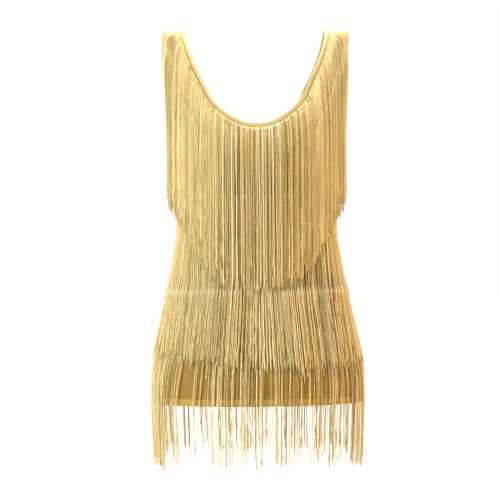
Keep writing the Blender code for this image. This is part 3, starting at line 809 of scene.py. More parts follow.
def hang(starts, lengths, clear_at, side):
    """Strands let go at their starts: they fall plumb and slide out over the cloth that they meet."""
    points = starts.copy()
    steps = [points.copy()]
    fallen = np.zeros(len(points))
    while (fallen < lengths).any():
        points[:, 2] -= HANG_STEP
        push_clear(points, clear_at(fallen, -points[:, 2]), side)
        steps.append(points.copy())
        fallen += np.linalg.norm(steps[-1] - steps[-2], axis=-1)
    return np.stack(steps, axis=1)


def cut_to(paths, lengths, count):
    """The same lines, cut to their lengths, with points spaced evenly along them."""
    along = running_length(paths)
    share = np.linspace(0, 1, count)
    return np.array(
        [
            np.stack([np.interp(share * length, at, axis) for axis in path.T], axis=-1)
            for path, at, length in zip(paths, along, lengths)
        ]
    )


def sideways(paths):
    """The level direction along the body at each strand's end."""
    return unit(np.stack([-paths[:, -1, 1], paths[:, -1, 0], np.zeros(len(paths))], axis=-1))


def cling(paths, chance, sizes, pull, open_places, latest):
    """Draws runs of neighbouring strands together towards their ends, as strands cling."""
    first = 0
    share = np.linspace(0, 1, paths.shape[1])
    while first < len(paths):
        last = min(first + int(chance.integers(*sizes)), len(paths))
        middle = paths[first:last].mean(axis=0)
        start = chance.uniform(0.0, latest)
        open_here = np.interp(middle[-1, 0], *open_places.T)
        growth = np.clip((share - start) / CLING_RUN, 0, 1) * pull * open_here * chance.uniform(*CLING_RANGE)
        paths[first:last, :, :2] += (middle - paths[first:last])[:, :, :2] * growth[None, :, None]
        first = last


def sway(paths, chance, slow, crimp):
    """Gives each strand slow bends to the side, and the fine crimp that a chain keeps towards its loose end."""
    share = np.linspace(0, 1, paths.shape[1])
    length = running_length(paths)
    shift = np.zeros(length.shape)
    # Size, shortest and longest wave, and how steeply it grows along the strand
    for size, shortest, longest, growth in (
        (slow, 0.15, 0.40, 0.7),
        (crimp, 0.030, 0.055, 2.0),
        (crimp * 0.6, 0.018, 0.030, 3.0),
    ):
        wave = chance.uniform(shortest, longest, len(paths))[:, None]
        phase = chance.uniform(0, 2 * np.pi, len(paths))[:, None]
        height = chance.normal(0, size, len(paths))[:, None]
        shift += height * (np.sin(2 * np.pi * length / wave + phase) - np.sin(phase)) * share**growth
    paths += sideways(paths)[:, None] * shift[..., None]


def ragged(count, chance, shortest, longest):
    """Each strand's own extra length. Most end close together, some well above the rest and a few below."""
    kind = chance.choice(3, count, p=END_SHARES)
    ranges = (CLOSE_ENDS, (shortest, 0.0), (0.0, longest))
    return np.choose(kind, [chance.uniform(low, high, count) for low, high in ranges])


def model_threads(paths, radii, sides, shades, twist):
    """Thin tubes along paths: their points, faces, places along and round each tube, and shades."""
    count, stations = paths.shape[:2]
    along = unit(np.gradient(paths, axis=1))
    across = np.cross(along[:, 0], (0.0, 0.0, 1.0)) + ANY_WAY
    turn = np.arange(sides) * 2 * np.pi / sides + twist[:, None]
    rings = []
    for k in range(stations):
        across = unit(across - (across * along[:, k]).sum(axis=-1, keepdims=True) * along[:, k])
        other = np.cross(along[:, k], across)
        ring = across[:, None] * np.cos(turn)[..., None] + other[:, None] * np.sin(turn)[..., None]
        rings.append(paths[:, k, None] + ring * radii[:, k, None, None])
    points = np.stack(rings, axis=1).reshape(-1, 3)
    thread, station, corner = np.indices((count, stations - 1, sides))
    here = (thread * stations + station) * sides
    after = here + sides
    next_corner = (corner + 1) % sides
    walls = np.stack([here + corner, here + next_corner, after + next_corner, after + corner], axis=-1)
    length = running_length(paths) + PATTERN_SHIFT * shades[:, :1]
    top = length[thread, station]
    bottom = length[thread, station + 1]
    left = corner / sides
    right = (corner + 1) / sides
    places = np.stack([left, top, right, top, right, bottom, left, bottom], axis=-1).reshape(-1, 2)
    first = np.arange(count)[:, None] * stations * sides
    caps = np.concatenate([first + np.arange(sides)[::-1], first + (stations - 1) * sides + np.arange(sides)])
    places = np.concatenate([places, np.zeros((caps.size, 2))])
    return points, walls.reshape(-1, 4).tolist() + caps.tolist(), places, np.repeat(shades, sides)


def add_threads(name, threads, tape=None):
    """A piece of thin tubes. A tape, given as rings of four points, joins them and has the second material."""
    points, faces, places, shade = threads
    thread_faces = len(faces)
    if tape is not None:
        base = len(points)
        edge = running_length(tape[:, 1])
        width = (0.0, TAPE_WIDTH, TAPE_WIDTH, 0.0)
        corners = []
        for r in range(len(tape) - 1):
            for i in range(4):
                j = (i + 1) % 4
                here = base + 4 * r
                faces.append([here + i, here + j, here + 4 + j, here + 4 + i])
                corners += [(edge[r + further], width[k]) for further, k in ((0, i), (0, j), (1, j), (1, i))]
        last = base + 4 * len(tape) - 4
        faces += [[base + 3, base + 2, base + 1, base], [last, last + 1, last + 2, last + 3]]
        corners += [(0.0, 0.0)] * 8
        points = np.concatenate([points, tape.reshape(-1, 3)])
        places = np.concatenate([places, corners])
        shade = np.concatenate([shade, np.full(4 * len(tape), 0.5)])
    mesh = bpy.data.meshes.new(name)
    mesh.from_pydata(points.tolist(), [], faces)
    mesh.uv_layers.new(name="along").data.foreach_set("uv", places.astype(np.float32).ravel())
    mesh.attributes.new("shade", "FLOAT", "POINT").data.foreach_set("value", shade.astype(np.float32))
    on_tape = np.arange(len(faces)) >= thread_faces
    mesh.polygons.foreach_set("use_smooth", ~on_tape)
    mesh.polygons.foreach_set("material_index", on_tape.astype(np.int32))
    mesh.update()
    return add_piece(name, mesh)


def chainette_finish():
    """Shiny knitted chain: rows of slanting loops, each strand a little lighter or darker than the next, and painted
    glints.
    """
    finish = Finish("chainette", roughness=0.40, metallic=0.20, sheen=0.1)
    around, down = finish.surface("along")
    shade = finish.node("ShaderNodeAttribute", {"attribute_name": "shade"}, output="Fac")
    loops = (down + abs(around - 0.5) * (CHAIN_PITCH * 1.6)).wave(CHAIN_PITCH)
    dull = finish.noise(90.0, stretch=(1.0, 1.0, 0.2), detail=2.0)
    # Painted highlight: glints painted into the colour as well as into the roughness
    glint = finish.noise(420.0, stretch=(1.0, 1.0, 0.25), detail=1.0)
    tone = shade * SHADE_TONE + loops * LOOP_TONE + dull * DULL_TONE + glint * GLINT_TONE - TONE_OFF
    colours = (
        (0.06, (0.22, 0.145, 0.036)),
        (0.34, (0.60, 0.455, 0.165)),
        (0.62, (0.83, 0.675, 0.310)),
        (0.95, (0.95, 0.87, 0.58)),
    )
    finish.feed("Base Color", finish.ramp(tone, *colours))
    finish.feed("Roughness", finish.ramp(glint, (0.3, (0.50,) * 3), (0.7, (0.28,) * 3)))
    finish.bump(loops, distance=0.0003, strength=0.7)
    return finish.material


def header_finish():
    """The header tape: close woven ribs with the strands' loops caught in them."""
    finish = Finish("header tape", roughness=0.55, metallic=0.12, sheen=0.1)
    along_tape, down = finish.surface("along")
    ribs = along_tape.wave(RIB_PITCH) * TAPE_RIBS + down.wave(ROW_PITCH) * TAPE_ROWS
    tone = ribs * 0.5 + finish.noise(90.0) * 0.5
    colours = ((0.2, (0.30, 0.19, 0.05)), (0.55, (0.48, 0.35, 0.12)), (0.85, (0.64, 0.51, 0.24)))
    finish.feed("Base Color", finish.ramp(tone, *colours))
    finish.bump(ribs, distance=0.0003, strength=0.8)
    return finish.material


chainette = chainette_finish()
header = header_finish()


def tape_rings(point_at, total):
    """Rings of four points along a header tape, in order round its section."""
    rings = []
    for at in np.linspace(0, total, int(total / TAPE_STEP)):
        high, out = point_at(at, 0.0)
        low, _ = point_at(at, TAPE_WIDTH)
        face = out * (TAPE_LIFT + TAPE_THICKNESS)
        rings.append([high + out * TAPE_LIFT, low + out * TAPE_LIFT, low + face, high + face])
    return np.array(rings)


def spaced_roots(total, count, chance):
    """Nearly even distances along a tape, at which strands are caught in it."""
    evenly = np.linspace(TAPE_MARGIN, total - TAPE_MARGIN, count)
    return evenly + chance.uniform(-ROOT_SCATTER, ROOT_SCATTER, count)


def two_rows(count, chance):
    """How much further out each strand hangs, by turns in one row and the other."""
    return np.where(np.arange(count) % 2, OUTER_ROW, INNER_ROW) + chance.uniform(-ROW_SCATTER, ROW_SCATTER, count)


def tape_face(point_at, at, down):
    """Where strands lie on the face of their tape."""
    point, out = point_at(at, down)
    return point + out * ON_TAPE


def add_fringe(name, node, paths, chance, tape, open_places, lightest, fade, ridge_highlight=0.0):
    """One tier of strands on its tape, which stands for a fringe node. Their colour is painted darker where they part,
    as painted shade, and lighter where a painted highlight is given.
    """
    count, stations = paths.shape[:2]
    radii = STRAND_RADIUS * chance.uniform(*THICKNESS_RANGE, count)[:, None] * np.ones(stations)
    radii[:, 0] *= ROOT_THINNING
    radii[:, -1] *= END_THINNING
    unlike = chance.normal(0.0, TONE_SCATTER, count) + chance.choice(ODD_TONES, count, p=ODD_SHARES)
    # Painted shade: strands are painted darker by fade times how far they part, for the shade that falls where they
    # part
    parted = np.interp(paths[:, -1, 0], *open_places.T)
    contrast = CLOSE_CONTRAST + (1 - CLOSE_CONTRAST) * np.minimum(parted, 1)
    shades = np.clip(lightest - fade * parted + unlike * contrast, 0.0, 1.0)
    # What is added here, where given, is a painted highlight along the strands
    shades = shades[:, None] * np.ones(stations) + ridge_highlight
    piece = add_threads(name, model_threads(paths, radii, 3, shades, chance.uniform(0, 2, count)), tape)
    piece.data.materials.append(chainette)
    piece.data.materials.append(header)
    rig.replaces(piece, node)
    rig.ride(piece, "root")
    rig.slot(piece, "fringe")
    return piece


# The top tier, round the neckline. Its strands cross the straps aslant and drop from their outer edges, and between
# the straps they hang straight down over the bust.
NECK_STRANDS = 540
NECK_STATIONS = 44
# The gap between the front and the back tape on each shoulder is twice this
PARTING = 0.004
# The way aslant over a strap: its points, how far down it leads, and how early it turns, falls and lifts
ASLANT_POINTS = 9
STRAP_FALL = 0.012
EARLY_TURN = 1.8
FALL_CURVE = 1.3
LIFT_SPEED = 2.5
# How far out it passes over the armhole binding, and which way it then drops off the edge
OVER_BINDING = 0.0022
STRAP_LIFT = 0.0012
OFF_EDGE = np.array([1.0, 0.0, -1.4])
# How much longer the strands at the top of a strap are, and the level by which that has worn off
TOP_LENGTH = 0.030
TOP_LENGTH_RUN = 0.09
TIER_2_DEPTH = 0.289
# How far from the cloth strands hang in the second layer and in the third, and how much further over a header
LAYER_2 = 0.0055
LAYER_3 = 0.0085
HEADER_RIDGE = 0.0030
RIDGE_RUN = 0.006
# Level of the root on a strap, and the half width at which the strand then hangs
STRAP_HANG = np.array([
    (0.000, 0.1628),
    (0.010, 0.1602),
    (0.020, 0.1567),
    (0.030, 0.1520),
    (0.040, 0.1455),
    (0.050, 0.1390),
    (0.070, 0.1308),
    (0.090, 0.1245),
    (0.110, 0.1165),
    (0.130, 0.1075),
    (0.157, 0.0950),
])
# Strands that hang further out than this drift back towards the body: how far at most, and in what drop
OUTER_HANG = 0.145
DRIFT_BACK = 0.0085
DRIFT_RUN = 0.20
# How much shorter the strands are near the middle, by how far to the right of it they hang
NECK_END = np.array([(-0.11, 0.0), (-0.06, -0.007), (-0.02, -0.014), (0.03, -0.014), (0.07, -0.006), (0.11, 0.0)])
# Where the strands part most: how far to the right of the centre, and the share of the full pull and of the painted
# shade there
CHEST_OPEN = np.array([(-0.17, 0.15), (-0.08, 0.40), (-0.03, 1.0), (0.045, 1.0), (0.075, 0.45), (0.17, 0.30)])


def over_header(depth, tier_depth):
    """How much further out strands ride where the header of the tier below them lies under them."""
    return HEADER_RIDGE * np.exp(-(((depth - tier_depth - TAPE_WIDTH / 2) / RIDGE_RUN) ** 2))


def across_strap(start_angle, level, side, hand, lift):
    """The first part of strands that start high on a strap: aslant over it, and near its top off its edge."""
    leave = level + STRAP_FALL + level / 2
    hang_x = np.interp(level, *STRAP_HANG.T)
    edge_angle, edge_level = armhole_line(side, EDGE_POINTS)
    edge = np.interp(leave, edge_level, edge_angle)
    edge_x = cloth_point(edge, leave, side)[:, 0]
    start_x = cloth_point(start_angle, level, side)[:, 0]
    share = np.linspace(0, 1, ASLANT_POINTS)
    at = level[:, None] + (leave - level)[:, None] * share**FALL_CURVE
    x = start_x[:, None] + (np.minimum(edge_x, hang_x) - start_x)[:, None] * (1 - (1 - share) ** EARLY_TURN)
    angle = angle_of(x, at)
    rise = ON_TAPE + (OVER_BINDING - ON_TAPE + lift[:, None]) * np.minimum(share * LIFT_SPEED, 1)
    points = cloth_point(angle, at, side) + cloth_normal(angle, at, side) * rise[..., None]
    off_edge = np.maximum(hang_x - edge_x, 0.0)
    drop = points[:, -1] + off_edge[:, None] * OFF_EDGE
    return np.concatenate([points, drop[:, None]], axis=1) * np.stack([hand, hand**2, hand**2], axis=-1)[:, None]


def hang_neck_tier(name, node, side, seed):
    """The tier along one side of the neck: its tape beside the binding, and strands that hang over the rest."""
    chance = np.random.default_rng(seed)
    beside_binding = NECK_BINDING_WIDTH + SEAM_GAP
    edges = [beside_edge(fine_neck, FINE_NECK_ROWS, side, beside_binding + down) for down in (0.0, TAPE_WIDTH)]
    for angle, _ in edges:
        angle[-1] = 0.0
    angles = [np.concatenate([angle, -angle[-2::-1]]) for angle, _ in edges]
    levels = [np.concatenate([level, level[-2::-1]]) for _, level in edges]
    length = running_length(cloth_point(angles[1], levels[1], side))

    def place(at, down):
        share = down / TAPE_WIDTH
        return (
            np.interp(at + PARTING, length, upper) * (1 - share) + np.interp(at + PARTING, length, lower) * share
            for upper, lower in (angles, levels)
        )

    def point_at(at, down):
        angle, level = place(at, down)
        return cloth_point(angle, level, side), cloth_normal(angle, level, side)

    total = length[-1] - 2 * PARTING
    at = spaced_roots(total, NECK_STRANDS, chance)
    row = two_rows(NECK_STRANDS, chance)
    leads = np.repeat(tape_face(point_at, at, TAPE_WIDTH)[:, None], ASLANT_POINTS + 1, axis=1)
    angle, level = place(at, TAPE_WIDTH)
    on_strap = level < STRAP_HANG[-1, 0]
    hand = np.sign(angle)[on_strap]
    lift = row[on_strap] + STRAP_LIFT
    leads[on_strap] = across_strap(np.abs(angle[on_strap]), level[on_strap], side, hand, lift)
    leads = np.concatenate([tape_face(point_at, at, ROOT_DOWN)[:, None], leads], axis=1)

    def layer_at(depth):
        past = np.clip((depth - TIER_2_DEPTH + TAPE_WIDTH) / TAPE_WIDTH, 0, 1)
        return LAYER_2 + (LAYER_3 - LAYER_2) * past + over_header(depth, TIER_2_DEPTH) / 2

    def clear_at(fallen, depth):
        return ON_TAPE + (layer_at(depth) + row - ON_TAPE) * np.minimum(fallen / LAYER_RUN, 1.0)

    drops = STRAND_LENGTH + ragged(NECK_STRANDS, chance, shortest=-0.040, longest=0.008)
    drops += np.interp(leads[:, -1, 0], *NECK_END.T)
    tails = hang(leads[:, -1], drops, clear_at, side)
    past_outer = (np.abs(leads[:, -1, 0]) - OUTER_HANG) / (STRAP_HANG[0, 1] - OUTER_HANG)
    drift = DRIFT_BACK * np.clip(past_outer, 0, 1)
    fallen = np.clip((tails[:, :1, 2] - tails[..., 2]) / DRIFT_RUN, 0, 1)
    tails[..., 0] -= (np.sign(angle) * drift)[:, None] * fallen**2 * (3 - 2 * fallen)
    whole = drops + TOP_LENGTH * np.maximum(1 - level / TOP_LENGTH_RUN, 0)
    paths = cut_to(np.concatenate([leads, tails[:, 1:]], axis=1), whole, NECK_STATIONS)
    cling(paths, chance, sizes=(3, 7), pull=0.45, open_places=CHEST_OPEN, latest=0.12)
    clear = layer_at(-paths[..., 2]) + row[:, None]
    push_clear(paths, np.where(np.arange(NECK_STATIONS) < ASLANT_POINTS + 2, 0.0, clear), side)
    sway(paths, chance, slow=0.0007, crimp=0.0005)
    tape = tape_rings(point_at, total)
    return add_fringe(name, node, paths, chance, tape, CHEST_OPEN, lightest=0.61, fade=0.19)


neck_fringe_front = hang_neck_tier("neck_fringe_front", "fringe_1_front", side=-1, seed=11)
neck_fringe_back = hang_neck_tier("neck_fringe_back", "fringe_1_back", side=1, seed=12)


# The middle tier, in a level row below the bust. It covers the header of the tier below, and its strands end
# unevenly, higher on the left of the picture than on the right.
TIER_3_DEPTH = 0.451
TIER_END_ANGLE = math.pi / 2 - 0.012
WAIST_STRANDS = 430
WAIST_STATIONS = 54
# The first points of a strand, which stay where the tape holds them
HELD_STATIONS = 4
# Where the strands of this tier and of the one below it part most, as for the top tier, with its painted shade
WAIST_OPEN = np.array(
    [(-0.17, 0.15), (-0.08, 0.45), (-0.03, 1.0), (0.06, 1.0), (0.12, 1.3), (0.16, 1.2), (0.175, 0.2)]
)
# How much lighter the strands are painted where they lie smooth over the header below: a painted highlight
RIDGE_HIGHLIGHT = 0.26
# How far the strands spread to the sides over the hips, and the drop in which they do
FAN = 0.016
FAN_RUN = 0.15
# Angle from the centre front, in degrees, and how much further down the strands end there
WAIST_END = np.array(
    [(-90, -0.022), (-60, -0.016), (-25, -0.006), (0, 0.002), (30, 0.003), (60, 0.002), (90, 0.000)]
)


def level_tape(depth, side):
    """A header tape in a level row: functions of its points and of their angles, and its length."""
    fine = np.linspace(-TIER_END_ANGLE, TIER_END_ANGLE, 721)
    top_level = level_of(depth)
    length = running_length(cloth_point(fine, top_level, side))

    def angle_at(at):
        return np.interp(at, length, fine)

    def point_at(at, down):
        angle = angle_at(at)
        return cloth_point(angle, top_level + down, side), cloth_normal(angle, top_level + down, side)

    return point_at, angle_at, length[-1]


def fan_out(paths, side):
    """Spreads strands to the sides below the hips' header, as they slide off the round of the hips."""
    depth = -paths[..., 2]
    level = level_of(np.minimum(depth, ring_depth[-1]))
    half_width = half_width_at(level)
    share = np.clip(np.abs(paths[..., 0]) / half_width, 0, 1)
    spread = 4 * FAN * share * (1 - share) * np.clip((depth - TIER_3_DEPTH) / FAN_RUN, 0, 1)
    after = np.minimum(share + spread / half_width, 1)
    falls_back = (1 - share**OVAL_POWER) ** (1 / OVAL_POWER) - (1 - after**OVAL_POWER) ** (1 / OVAL_POWER)
    paths[..., 0] += np.sign(paths[..., 0]) * spread
    paths[..., 1] -= side * reach_at(level, side) * falls_back


def hang_waist_tier(name, node, side, seed):
    """The tier on one side of the waist: its level tape, and strands that ride over the header of the hips' tier."""
    chance = np.random.default_rng(seed)
    point_at, angle_at, total = level_tape(TIER_2_DEPTH, side)
    at = spaced_roots(total, WAIST_STRANDS, chance)
    row = two_rows(WAIST_STRANDS, chance)

    def clear_at(fallen, depth):
        past_tape = LAYER_2 + row + over_header(depth, TIER_3_DEPTH) - ON_TAPE
        return ON_TAPE + past_tape * np.minimum(fallen / LAYER_RUN, 1.0)

    drops = STRAND_LENGTH + ragged(WAIST_STRANDS, chance, shortest=-0.035, longest=0.026)
    drops += np.interp(np.degrees(angle_at(at)), *WAIST_END.T)
    tails = hang(tape_face(point_at, at, TAPE_WIDTH), drops, clear_at, side)
    roots = tape_face(point_at, at, ROOT_DOWN)[:, None]
    paths = cut_to(np.concatenate([roots, tails], axis=1), drops, WAIST_STATIONS)
    fan_out(paths, side)
    cling(paths, chance, sizes=(3, 8), pull=0.50, open_places=WAIST_OPEN, latest=0.3)
    clear = LAYER_2 + row[:, None] + over_header(-paths[..., 2], TIER_3_DEPTH)
    push_clear(paths, np.where(np.arange(WAIST_STATIONS) < HELD_STATIONS, 0.0, clear), side)
    sway(paths, chance, slow=0.0010, crimp=0.0006)
    # Painted highlight: the strands are painted lighter where they ride over the header of the tier below
    ridge_highlight = RIDGE_HIGHLIGHT * over_header(-paths[..., 2], TIER_3_DEPTH) / HEADER_RIDGE
    tape = tape_rings(point_at, total)
    return add_fringe(name, node, paths, chance, tape, WAIST_OPEN, lightest=0.67, fade=0.07, ridge_highlight=ridge_highlight)


waist_fringe_front = hang_waist_tier("waist_fringe_front", "fringe_2_front", side=-1, seed=21)
waist_fringe_back = hang_waist_tier("waist_fringe_back", "fringe_2_back", side=1, seed=22)


# The lower tier, in a level row at the hips. It lies on the cloth down to the hem and hangs free past it. Its
# strands gather in locks of uneven size, with the cloth, and the open air below the hem, showing between them.
LAYER_1 = 0.0026
CLOTH_STATIONS = 20
FREE_STATIONS = 14
HIP_EXTRA_LENGTH = 0.006
# How nearly the roots stand above their own locks, and how unevenly strands fill a lock
ROOTS_ABOVE = 0.7
LOCK_SCATTER = 0.15
# The share of strands that stray from their locks, and how far
STRAY_SHARE = 0.07
STRAY_REACH = 0.012
# The share of the drop by which strands turn towards their locks at the latest, and how slowly they do at first
LATEST_TURN = 0.25
TURN_CURVE = 1.25
# How far from the centre strands pass the hem at most, and the share by which their free ends draw in below it
OUTER_TARGET = 0.1853
DRAW_IN = 0.02
# Each lock at the hem: how far it is to the right of the centre, its half width, its strands, and its extra length
FRONT_LOCKS = np.array([
    (-0.1838, 0.0016, 10, -0.006),
    (-0.1770, 0.0055, 20, 0.004),
    (-0.1665, 0.0055, 20, 0.010),
    (-0.1560, 0.0030, 3, 0.000),
    (-0.1410, 0.0058, 7, -0.002),
    (-0.1090, 0.0020, 4, -0.006),
    (-0.0990, 0.0015, 2, -0.055),
    (-0.0880, 0.0015, 2, -0.060),
    (-0.0780, 0.0026, 4, -0.004),
    (-0.0670, 0.0030, 5, 0.000),
    (-0.0550, 0.0030, 4, -0.003),
    (-0.0460, 0.0020, 4, 0.002),
    (-0.0325, 0.0050, 5, 0.000),
    (-0.0185, 0.0058, 6, -0.012),
    (-0.0010, 0.0066, 9, 0.001),
    (0.0310, 0.0100, 11, 0.002),
    (0.0505, 0.0058, 7, 0.000),
    (0.0640, 0.0058, 6, -0.004),
    (0.0900, 0.0066, 7, -0.001),
    (0.1030, 0.0050, 6, -0.006),
    (0.1240, 0.0066, 14, 0.000),
    (0.1390, 0.0025, 4, -0.003),
    (0.1500, 0.0018, 3, -0.004),
    (0.1590, 0.0033, 5, 0.004),
    (0.1720, 0.0060, 14, 0.009),
    (0.1836, 0.0017, 9, -0.008),
])
BACK_LOCKS = np.array([
    (-0.1838, 0.0016, 10, -0.010),
    (-0.1740, 0.0090, 24, -0.002),
    (-0.1560, 0.0070, 11, -0.008),
    (-0.1280, 0.0080, 9, -0.003),
    (-0.0960, 0.0070, 7, -0.010),
    (-0.0640, 0.0080, 8, -0.001),
    (-0.0440, 0.0065, 8, -0.004),
    (-0.0140, 0.0100, 10, 0.000),
    (0.0180, 0.0100, 10, -0.003),
    (0.0560, 0.0110, 11, 0.001),
    (0.0830, 0.0080, 9, -0.004),
    (0.1150, 0.0100, 10, -0.002),
    (0.1420, 0.0080, 10, -0.006),
    (0.1600, 0.0060, 9, -0.003),
    (0.1760, 0.0050, 10, -0.001),
    (0.1838, 0.0016, 9, -0.004),
])


def hang_hip_tier(name, node, side, locks, seed):
    """The tier on one side of the hips: its level tape, and strands that lead down the cloth to their locks."""
    chance = np.random.default_rng(seed)
    middle, spread, strands, extra = (np.repeat(column, locks[:, 2].astype(int)) for column in locks.T)
    count = len(middle)
    across = np.concatenate([np.linspace(-1, 1, int(n)) for n in locks[:, 2]])
    target = middle + spread * (across + chance.normal(0, LOCK_SCATTER, count))
    stray = chance.random(count) < STRAY_SHARE
    target += np.where(stray, chance.normal(0, STRAY_REACH, count), 0.0)
    target = np.clip(target, -OUTER_TARGET, OUTER_TARGET)
    point_at, angle_at, total = level_tape(TIER_3_DEPTH, side)
    evenly = np.linspace(TAPE_MARGIN, total - TAPE_MARGIN, count)
    above = np.interp(angle_of(target, hem_level), angle_at(evenly), evenly)
    at = evenly * (1 - ROOTS_ABOVE) + above * ROOTS_ABOVE
    row = two_rows(count, chance)[:, None]
    drops = STRAND_LENGTH + HIP_EXTRA_LENGTH + extra + ragged(count, chance, shortest=-0.022, longest=0.003)
    roots = tape_face(point_at, at, ROOT_DOWN)[:, None]

    share = np.linspace(0, 1, CLOTH_STATIONS)
    root = angle_at(at)[:, None]
    end = angle_of(target, hem_level)[:, None]
    start = chance.uniform(0.0, LATEST_TURN, count)[:, None]
    growth = np.clip((share - start) / (1 - start), 0, 1) ** TURN_CURVE
    angle = root + (end - root) * growth
    low_level = level_of(TIER_3_DEPTH) + TAPE_WIDTH
    level = np.broadcast_to(low_level + (hem_level - low_level) * share, angle.shape)
    lift = ON_TAPE + (LAYER_1 + row - ON_TAPE) * np.minimum((level - low_level) / LAYER_RUN, 1.0)
    on_cloth = cloth_point(angle, level, side, lift)
    length = running_length(np.concatenate([roots, on_cloth], axis=1))[:, -1]
    below = np.linspace(0, 1, FREE_STATIONS)[1:]
    free = np.repeat(on_cloth[:, -1:], FREE_STATIONS - 1, axis=1)
    free[..., 2] -= below * (drops - length)[:, None]
    free[..., 0] *= 1 - DRAW_IN * below
    paths = cut_to(np.concatenate([roots, on_cloth, free], axis=1), drops, CLOTH_STATIONS + FREE_STATIONS)
    sway(paths, chance, slow=0.0010, crimp=0.0005)
    tape = tape_rings(point_at, total)
    return add_fringe(name, node, paths, chance, tape, WAIST_OPEN, lightest=0.62, fade=0.02)


hip_fringe_front = hang_hip_tier("hip_fringe_front", "fringe_3_front", side=-1, locks=FRONT_LOCKS, seed=31)
hip_fringe_back = hang_hip_tier("hip_fringe_back", "fringe_3_back", side=1, locks=BACK_LOCKS, seed=32)


# The sewing: a twin row of stitches that holds the turned-up hem, and one row near the inner edge of each binding.
# The thread is a pale gold, and each stitch is a short arched length of it.
STITCH = 0.0024
STITCH_PITCH = 0.0031
THREAD_RADIUS = 0.00026
THREAD_SHADE = 0.6
# How far a stitch stands out at its ends, and how much further at its middle, in radii of its thread
STITCH_FOOT = 0.2
STITCH_ARCH = 1.3
# How far below the top of the turn-up the two rows lie, and how far from the side seams they end, in radians
HEM_ROWS_DOWN = (0.0020, 0.0048)
HEM_ROW_END = 0.01
# Where the row on a binding lies, as a share of its width from the open edge
BINDING_ROW = 0.80


def stitches_along(points, out):
    """Short arched stitches along a line of points: a path of five points for each stitch."""
    length = running_length(points)
    starts = np.arange(STITCH_PITCH, length[-1] - STITCH_PITCH, STITCH_PITCH)
    share = np.linspace(0, 1, 5)
    at = starts[:, None] + share * STITCH
    middle = np.stack([np.interp(at, length, axis) for axis in points.T], axis=-1)
    away = unit(np.stack([np.interp(at, length, axis) for axis in out.T], axis=-1))
    rise = THREAD_RADIUS * (STITCH_FOOT + STITCH_ARCH * np.sin(np.pi * share))
    return middle + away * rise[None, :, None]


def sew(name, rows):
    """All the stitches of some rows as one piece."""
    paths = np.concatenate([stitches_along(points, out) for points, out in rows])
    radii = np.full(paths.shape[:2], THREAD_RADIUS)
    shades = np.full(radii.shape, THREAD_SHADE)
    piece = add_threads(name, model_threads(paths, radii, 4, shades, np.zeros(len(paths))))
    piece.data.materials.append(thread)
    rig.ride(piece, "root")
    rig.slot(piece, "binding")
    return piece


thread_finish = Finish("sewing thread", roughness=0.45, metallic=0.0, sheen=0.1)
twist_colours = ((0.3, (0.55, 0.40, 0.13)), (0.7, (0.80, 0.64, 0.30)))
thread_finish.feed("Base Color", thread_finish.ramp(thread_finish.noise(2600.0), *twist_colours))
thread = thread_finish.material


def hem_row(down, side):
    """A line on the turn-up's outer face, from one side seam to the other."""
    around = np.linspace(-math.pi / 2 + HEM_ROW_END, math.pi / 2 - HEM_ROW_END, 400)
    level = np.full(around.shape, turn_level + down)
    lift = HEM_LIFT + crease_lift(around, level, side)
    return cloth_point(around, level, side, lift), cloth_normal(around, level, side)


hem_stitches_front = sew("hem_stitches_front", [hem_row(down, -1) for down in HEM_ROWS_DOWN])
hem_stitches_back = sew("hem_stitches_back", [hem_row(down, 1) for down in HEM_ROWS_DOWN])


def binding_row(loop, width, hand):
    """A line on a binding's outer face, near the edge that lies on the cloth."""
    _, _, _, edge, into_cloth, normal = loop
    points = edge + into_cloth * width * BINDING_ROW + normal * (BINDING_THICKNESS / 2 - CLOTH / 2)
    closed = np.concatenate([points, points[:1]]) * (hand, 1, 1)
    return closed, np.concatenate([normal, normal[:1]]) * (hand, 1, 1)


binding_stitches = sew(
    "binding_stitches",
    [
        binding_row(fine_neck, NECK_BINDING_WIDTH, 1),
        binding_row(fine_armhole, ARMHOLE_BINDING_WIDTH, 1),
        binding_row(fine_armhole, ARMHOLE_BINDING_WIDTH, -1),
    ],
)


# The cut: each panel is one piece of knit, as wide as the hips need and as long as the dress, with the neck and the
# armholes cut away.
def flat_cut(panel, side):
    """A panel's width, length and area when it lies flat."""
    around = np.linspace(-math.pi / 2, math.pi / 2, 181)
    width = max(running_length(cloth_point(around, level, side))[-1] for level in ring_level)
    both_faces = sum(face.area for face in panel.data.polygons)
    return {"flat": (width, hem_level), "area": both_faces / 2}


front_trim = [neck_fringe_front, waist_fringe_front, hip_fringe_front, hem_stitches_front, neck_binding]
front_trim += armhole_strips + [binding_stitches]
back_trim = [neck_fringe_back, waist_fringe_back, hip_fringe_back, hem_stitches_back]
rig.sheet(front_panel, held="draped", with_pieces=front_trim, **flat_cut(front_panel, -1))
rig.sheet(back_panel, held="draped", with_pieces=back_trim, **flat_cut(back_panel, 1))


# The room: a plain pale floor far below, where a wearer would stand, soft light from the left, the front and above
# with a warm glow from the right, and the camera level with the waist.
FLOOR_SIZE = 60
FLOOR_LEVEL = -1.4
LAMP_TARGET = np.array([0.0, 0.0, -0.38])
bpy.ops.mesh.primitive_plane_add(size=FLOOR_SIZE, location=(0, 0, FLOOR_LEVEL))
floor = bpy.context.object
floor.name = "floor"
floor_finish = Finish("floor", roughness=0.9, metallic=0.0, specular=0.1)
floor_finish.shader.inputs["Base Color"].default_value = (0.9, 0.9, 0.9, 1)
floor_finish.shader.inputs["Emission Color"].default_value = (1, 1, 1, 1)
floor_finish.shader.inputs["Emission Strength"].default_value = 0.9
floor.data.materials.append(floor_finish.material)
floor.visible_diffuse = False
floor.visible_glossy = False
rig.stage(floor)

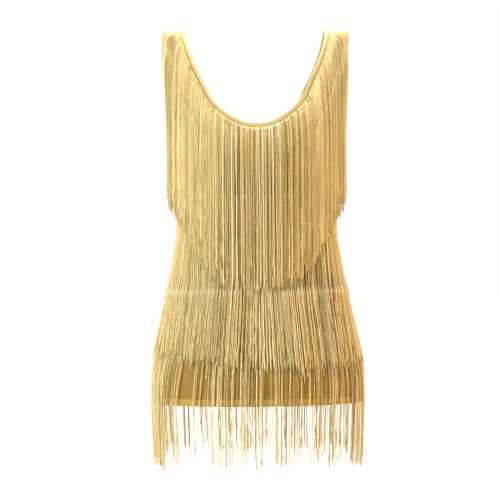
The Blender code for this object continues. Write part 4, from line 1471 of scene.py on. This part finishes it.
world = bpy.data.worlds.new("studio")
world.use_nodes = True
bpy.context.scene.world = world
walls = world.node_tree.nodes["Background"]
walls.inputs["Color"].default_value = (1.0, 0.94, 0.82, 1)
walls.inputs["Strength"].default_value = 0.56
backdrop = world.node_tree.nodes.new("ShaderNodeBackground")
backdrop.inputs["Color"].default_value = (1, 1, 1, 1)
straight = world.node_tree.nodes.new("ShaderNodeLightPath")
seen = world.node_tree.nodes.new("ShaderNodeMixShader")
world.node_tree.links.new(straight.outputs["Is Camera Ray"], seen.inputs["Fac"])
world.node_tree.links.new(walls.outputs[0], seen.inputs[1])
world.node_tree.links.new(backdrop.outputs[0], seen.inputs[2])
world.node_tree.links.new(seen.outputs[0], world.node_tree.nodes["World Output"].inputs["Surface"])
bpy.context.scene.view_settings.view_transform = "Standard"

for name, place, size, power, colour in (
    ("key", (-2.3, -1.2, -0.4), 1.0, 60, (1.0, 0.97, 0.88)),
    ("front", (0.4, -2.6, 0.6), 1.2, 25, (1.0, 1.0, 0.98)),
    ("top", (0.0, 0.1, 1.1), 0.6, 34, (1.0, 1.0, 1.0)),
    ("warm", (2.0, -0.8, -0.8), 1.0, 30, (1.0, 0.52, 0.06)),
    ("behind", (0.6, 2.4, 0.6), 1.6, 14, (1.0, 0.97, 0.92)),
):
    lamp = bpy.data.lights.new(name, "AREA")
    lamp.size = size
    lamp.energy = power
    lamp.color = colour
    light = add_piece(name, lamp)
    light.location = place
    aim = LAMP_TARGET - np.array(place)
    light.rotation_euler = (math.acos(-aim[2] / np.linalg.norm(aim)), 0, math.atan2(aim[1], aim[0]) - math.pi / 2)

CAMERA_TARGET = (-0.0117, 0.0, -0.383)
CAMERA_DISTANCE = 2.6
CAMERA_TURN = math.radians(-1)
CAMERA_ROLL = math.radians(0.45)
CAMERA_LENS = 107
camera = add_piece("camera", bpy.data.cameras.new("camera"))
camera.data.sensor_width = 36
camera.data.lens = CAMERA_LENS
camera.location = (
    CAMERA_TARGET[0] + CAMERA_DISTANCE * math.sin(CAMERA_TURN),
    -CAMERA_DISTANCE * math.cos(CAMERA_TURN),
    CAMERA_TARGET[2],
)
camera.rotation_euler = (math.pi / 2, CAMERA_ROLL, CAMERA_TURN)
bpy.context.scene.camera = camera

with open("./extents.json", "w") as f:
    json.dump([cad_bounds, [list(corner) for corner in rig.bounds()]], f)
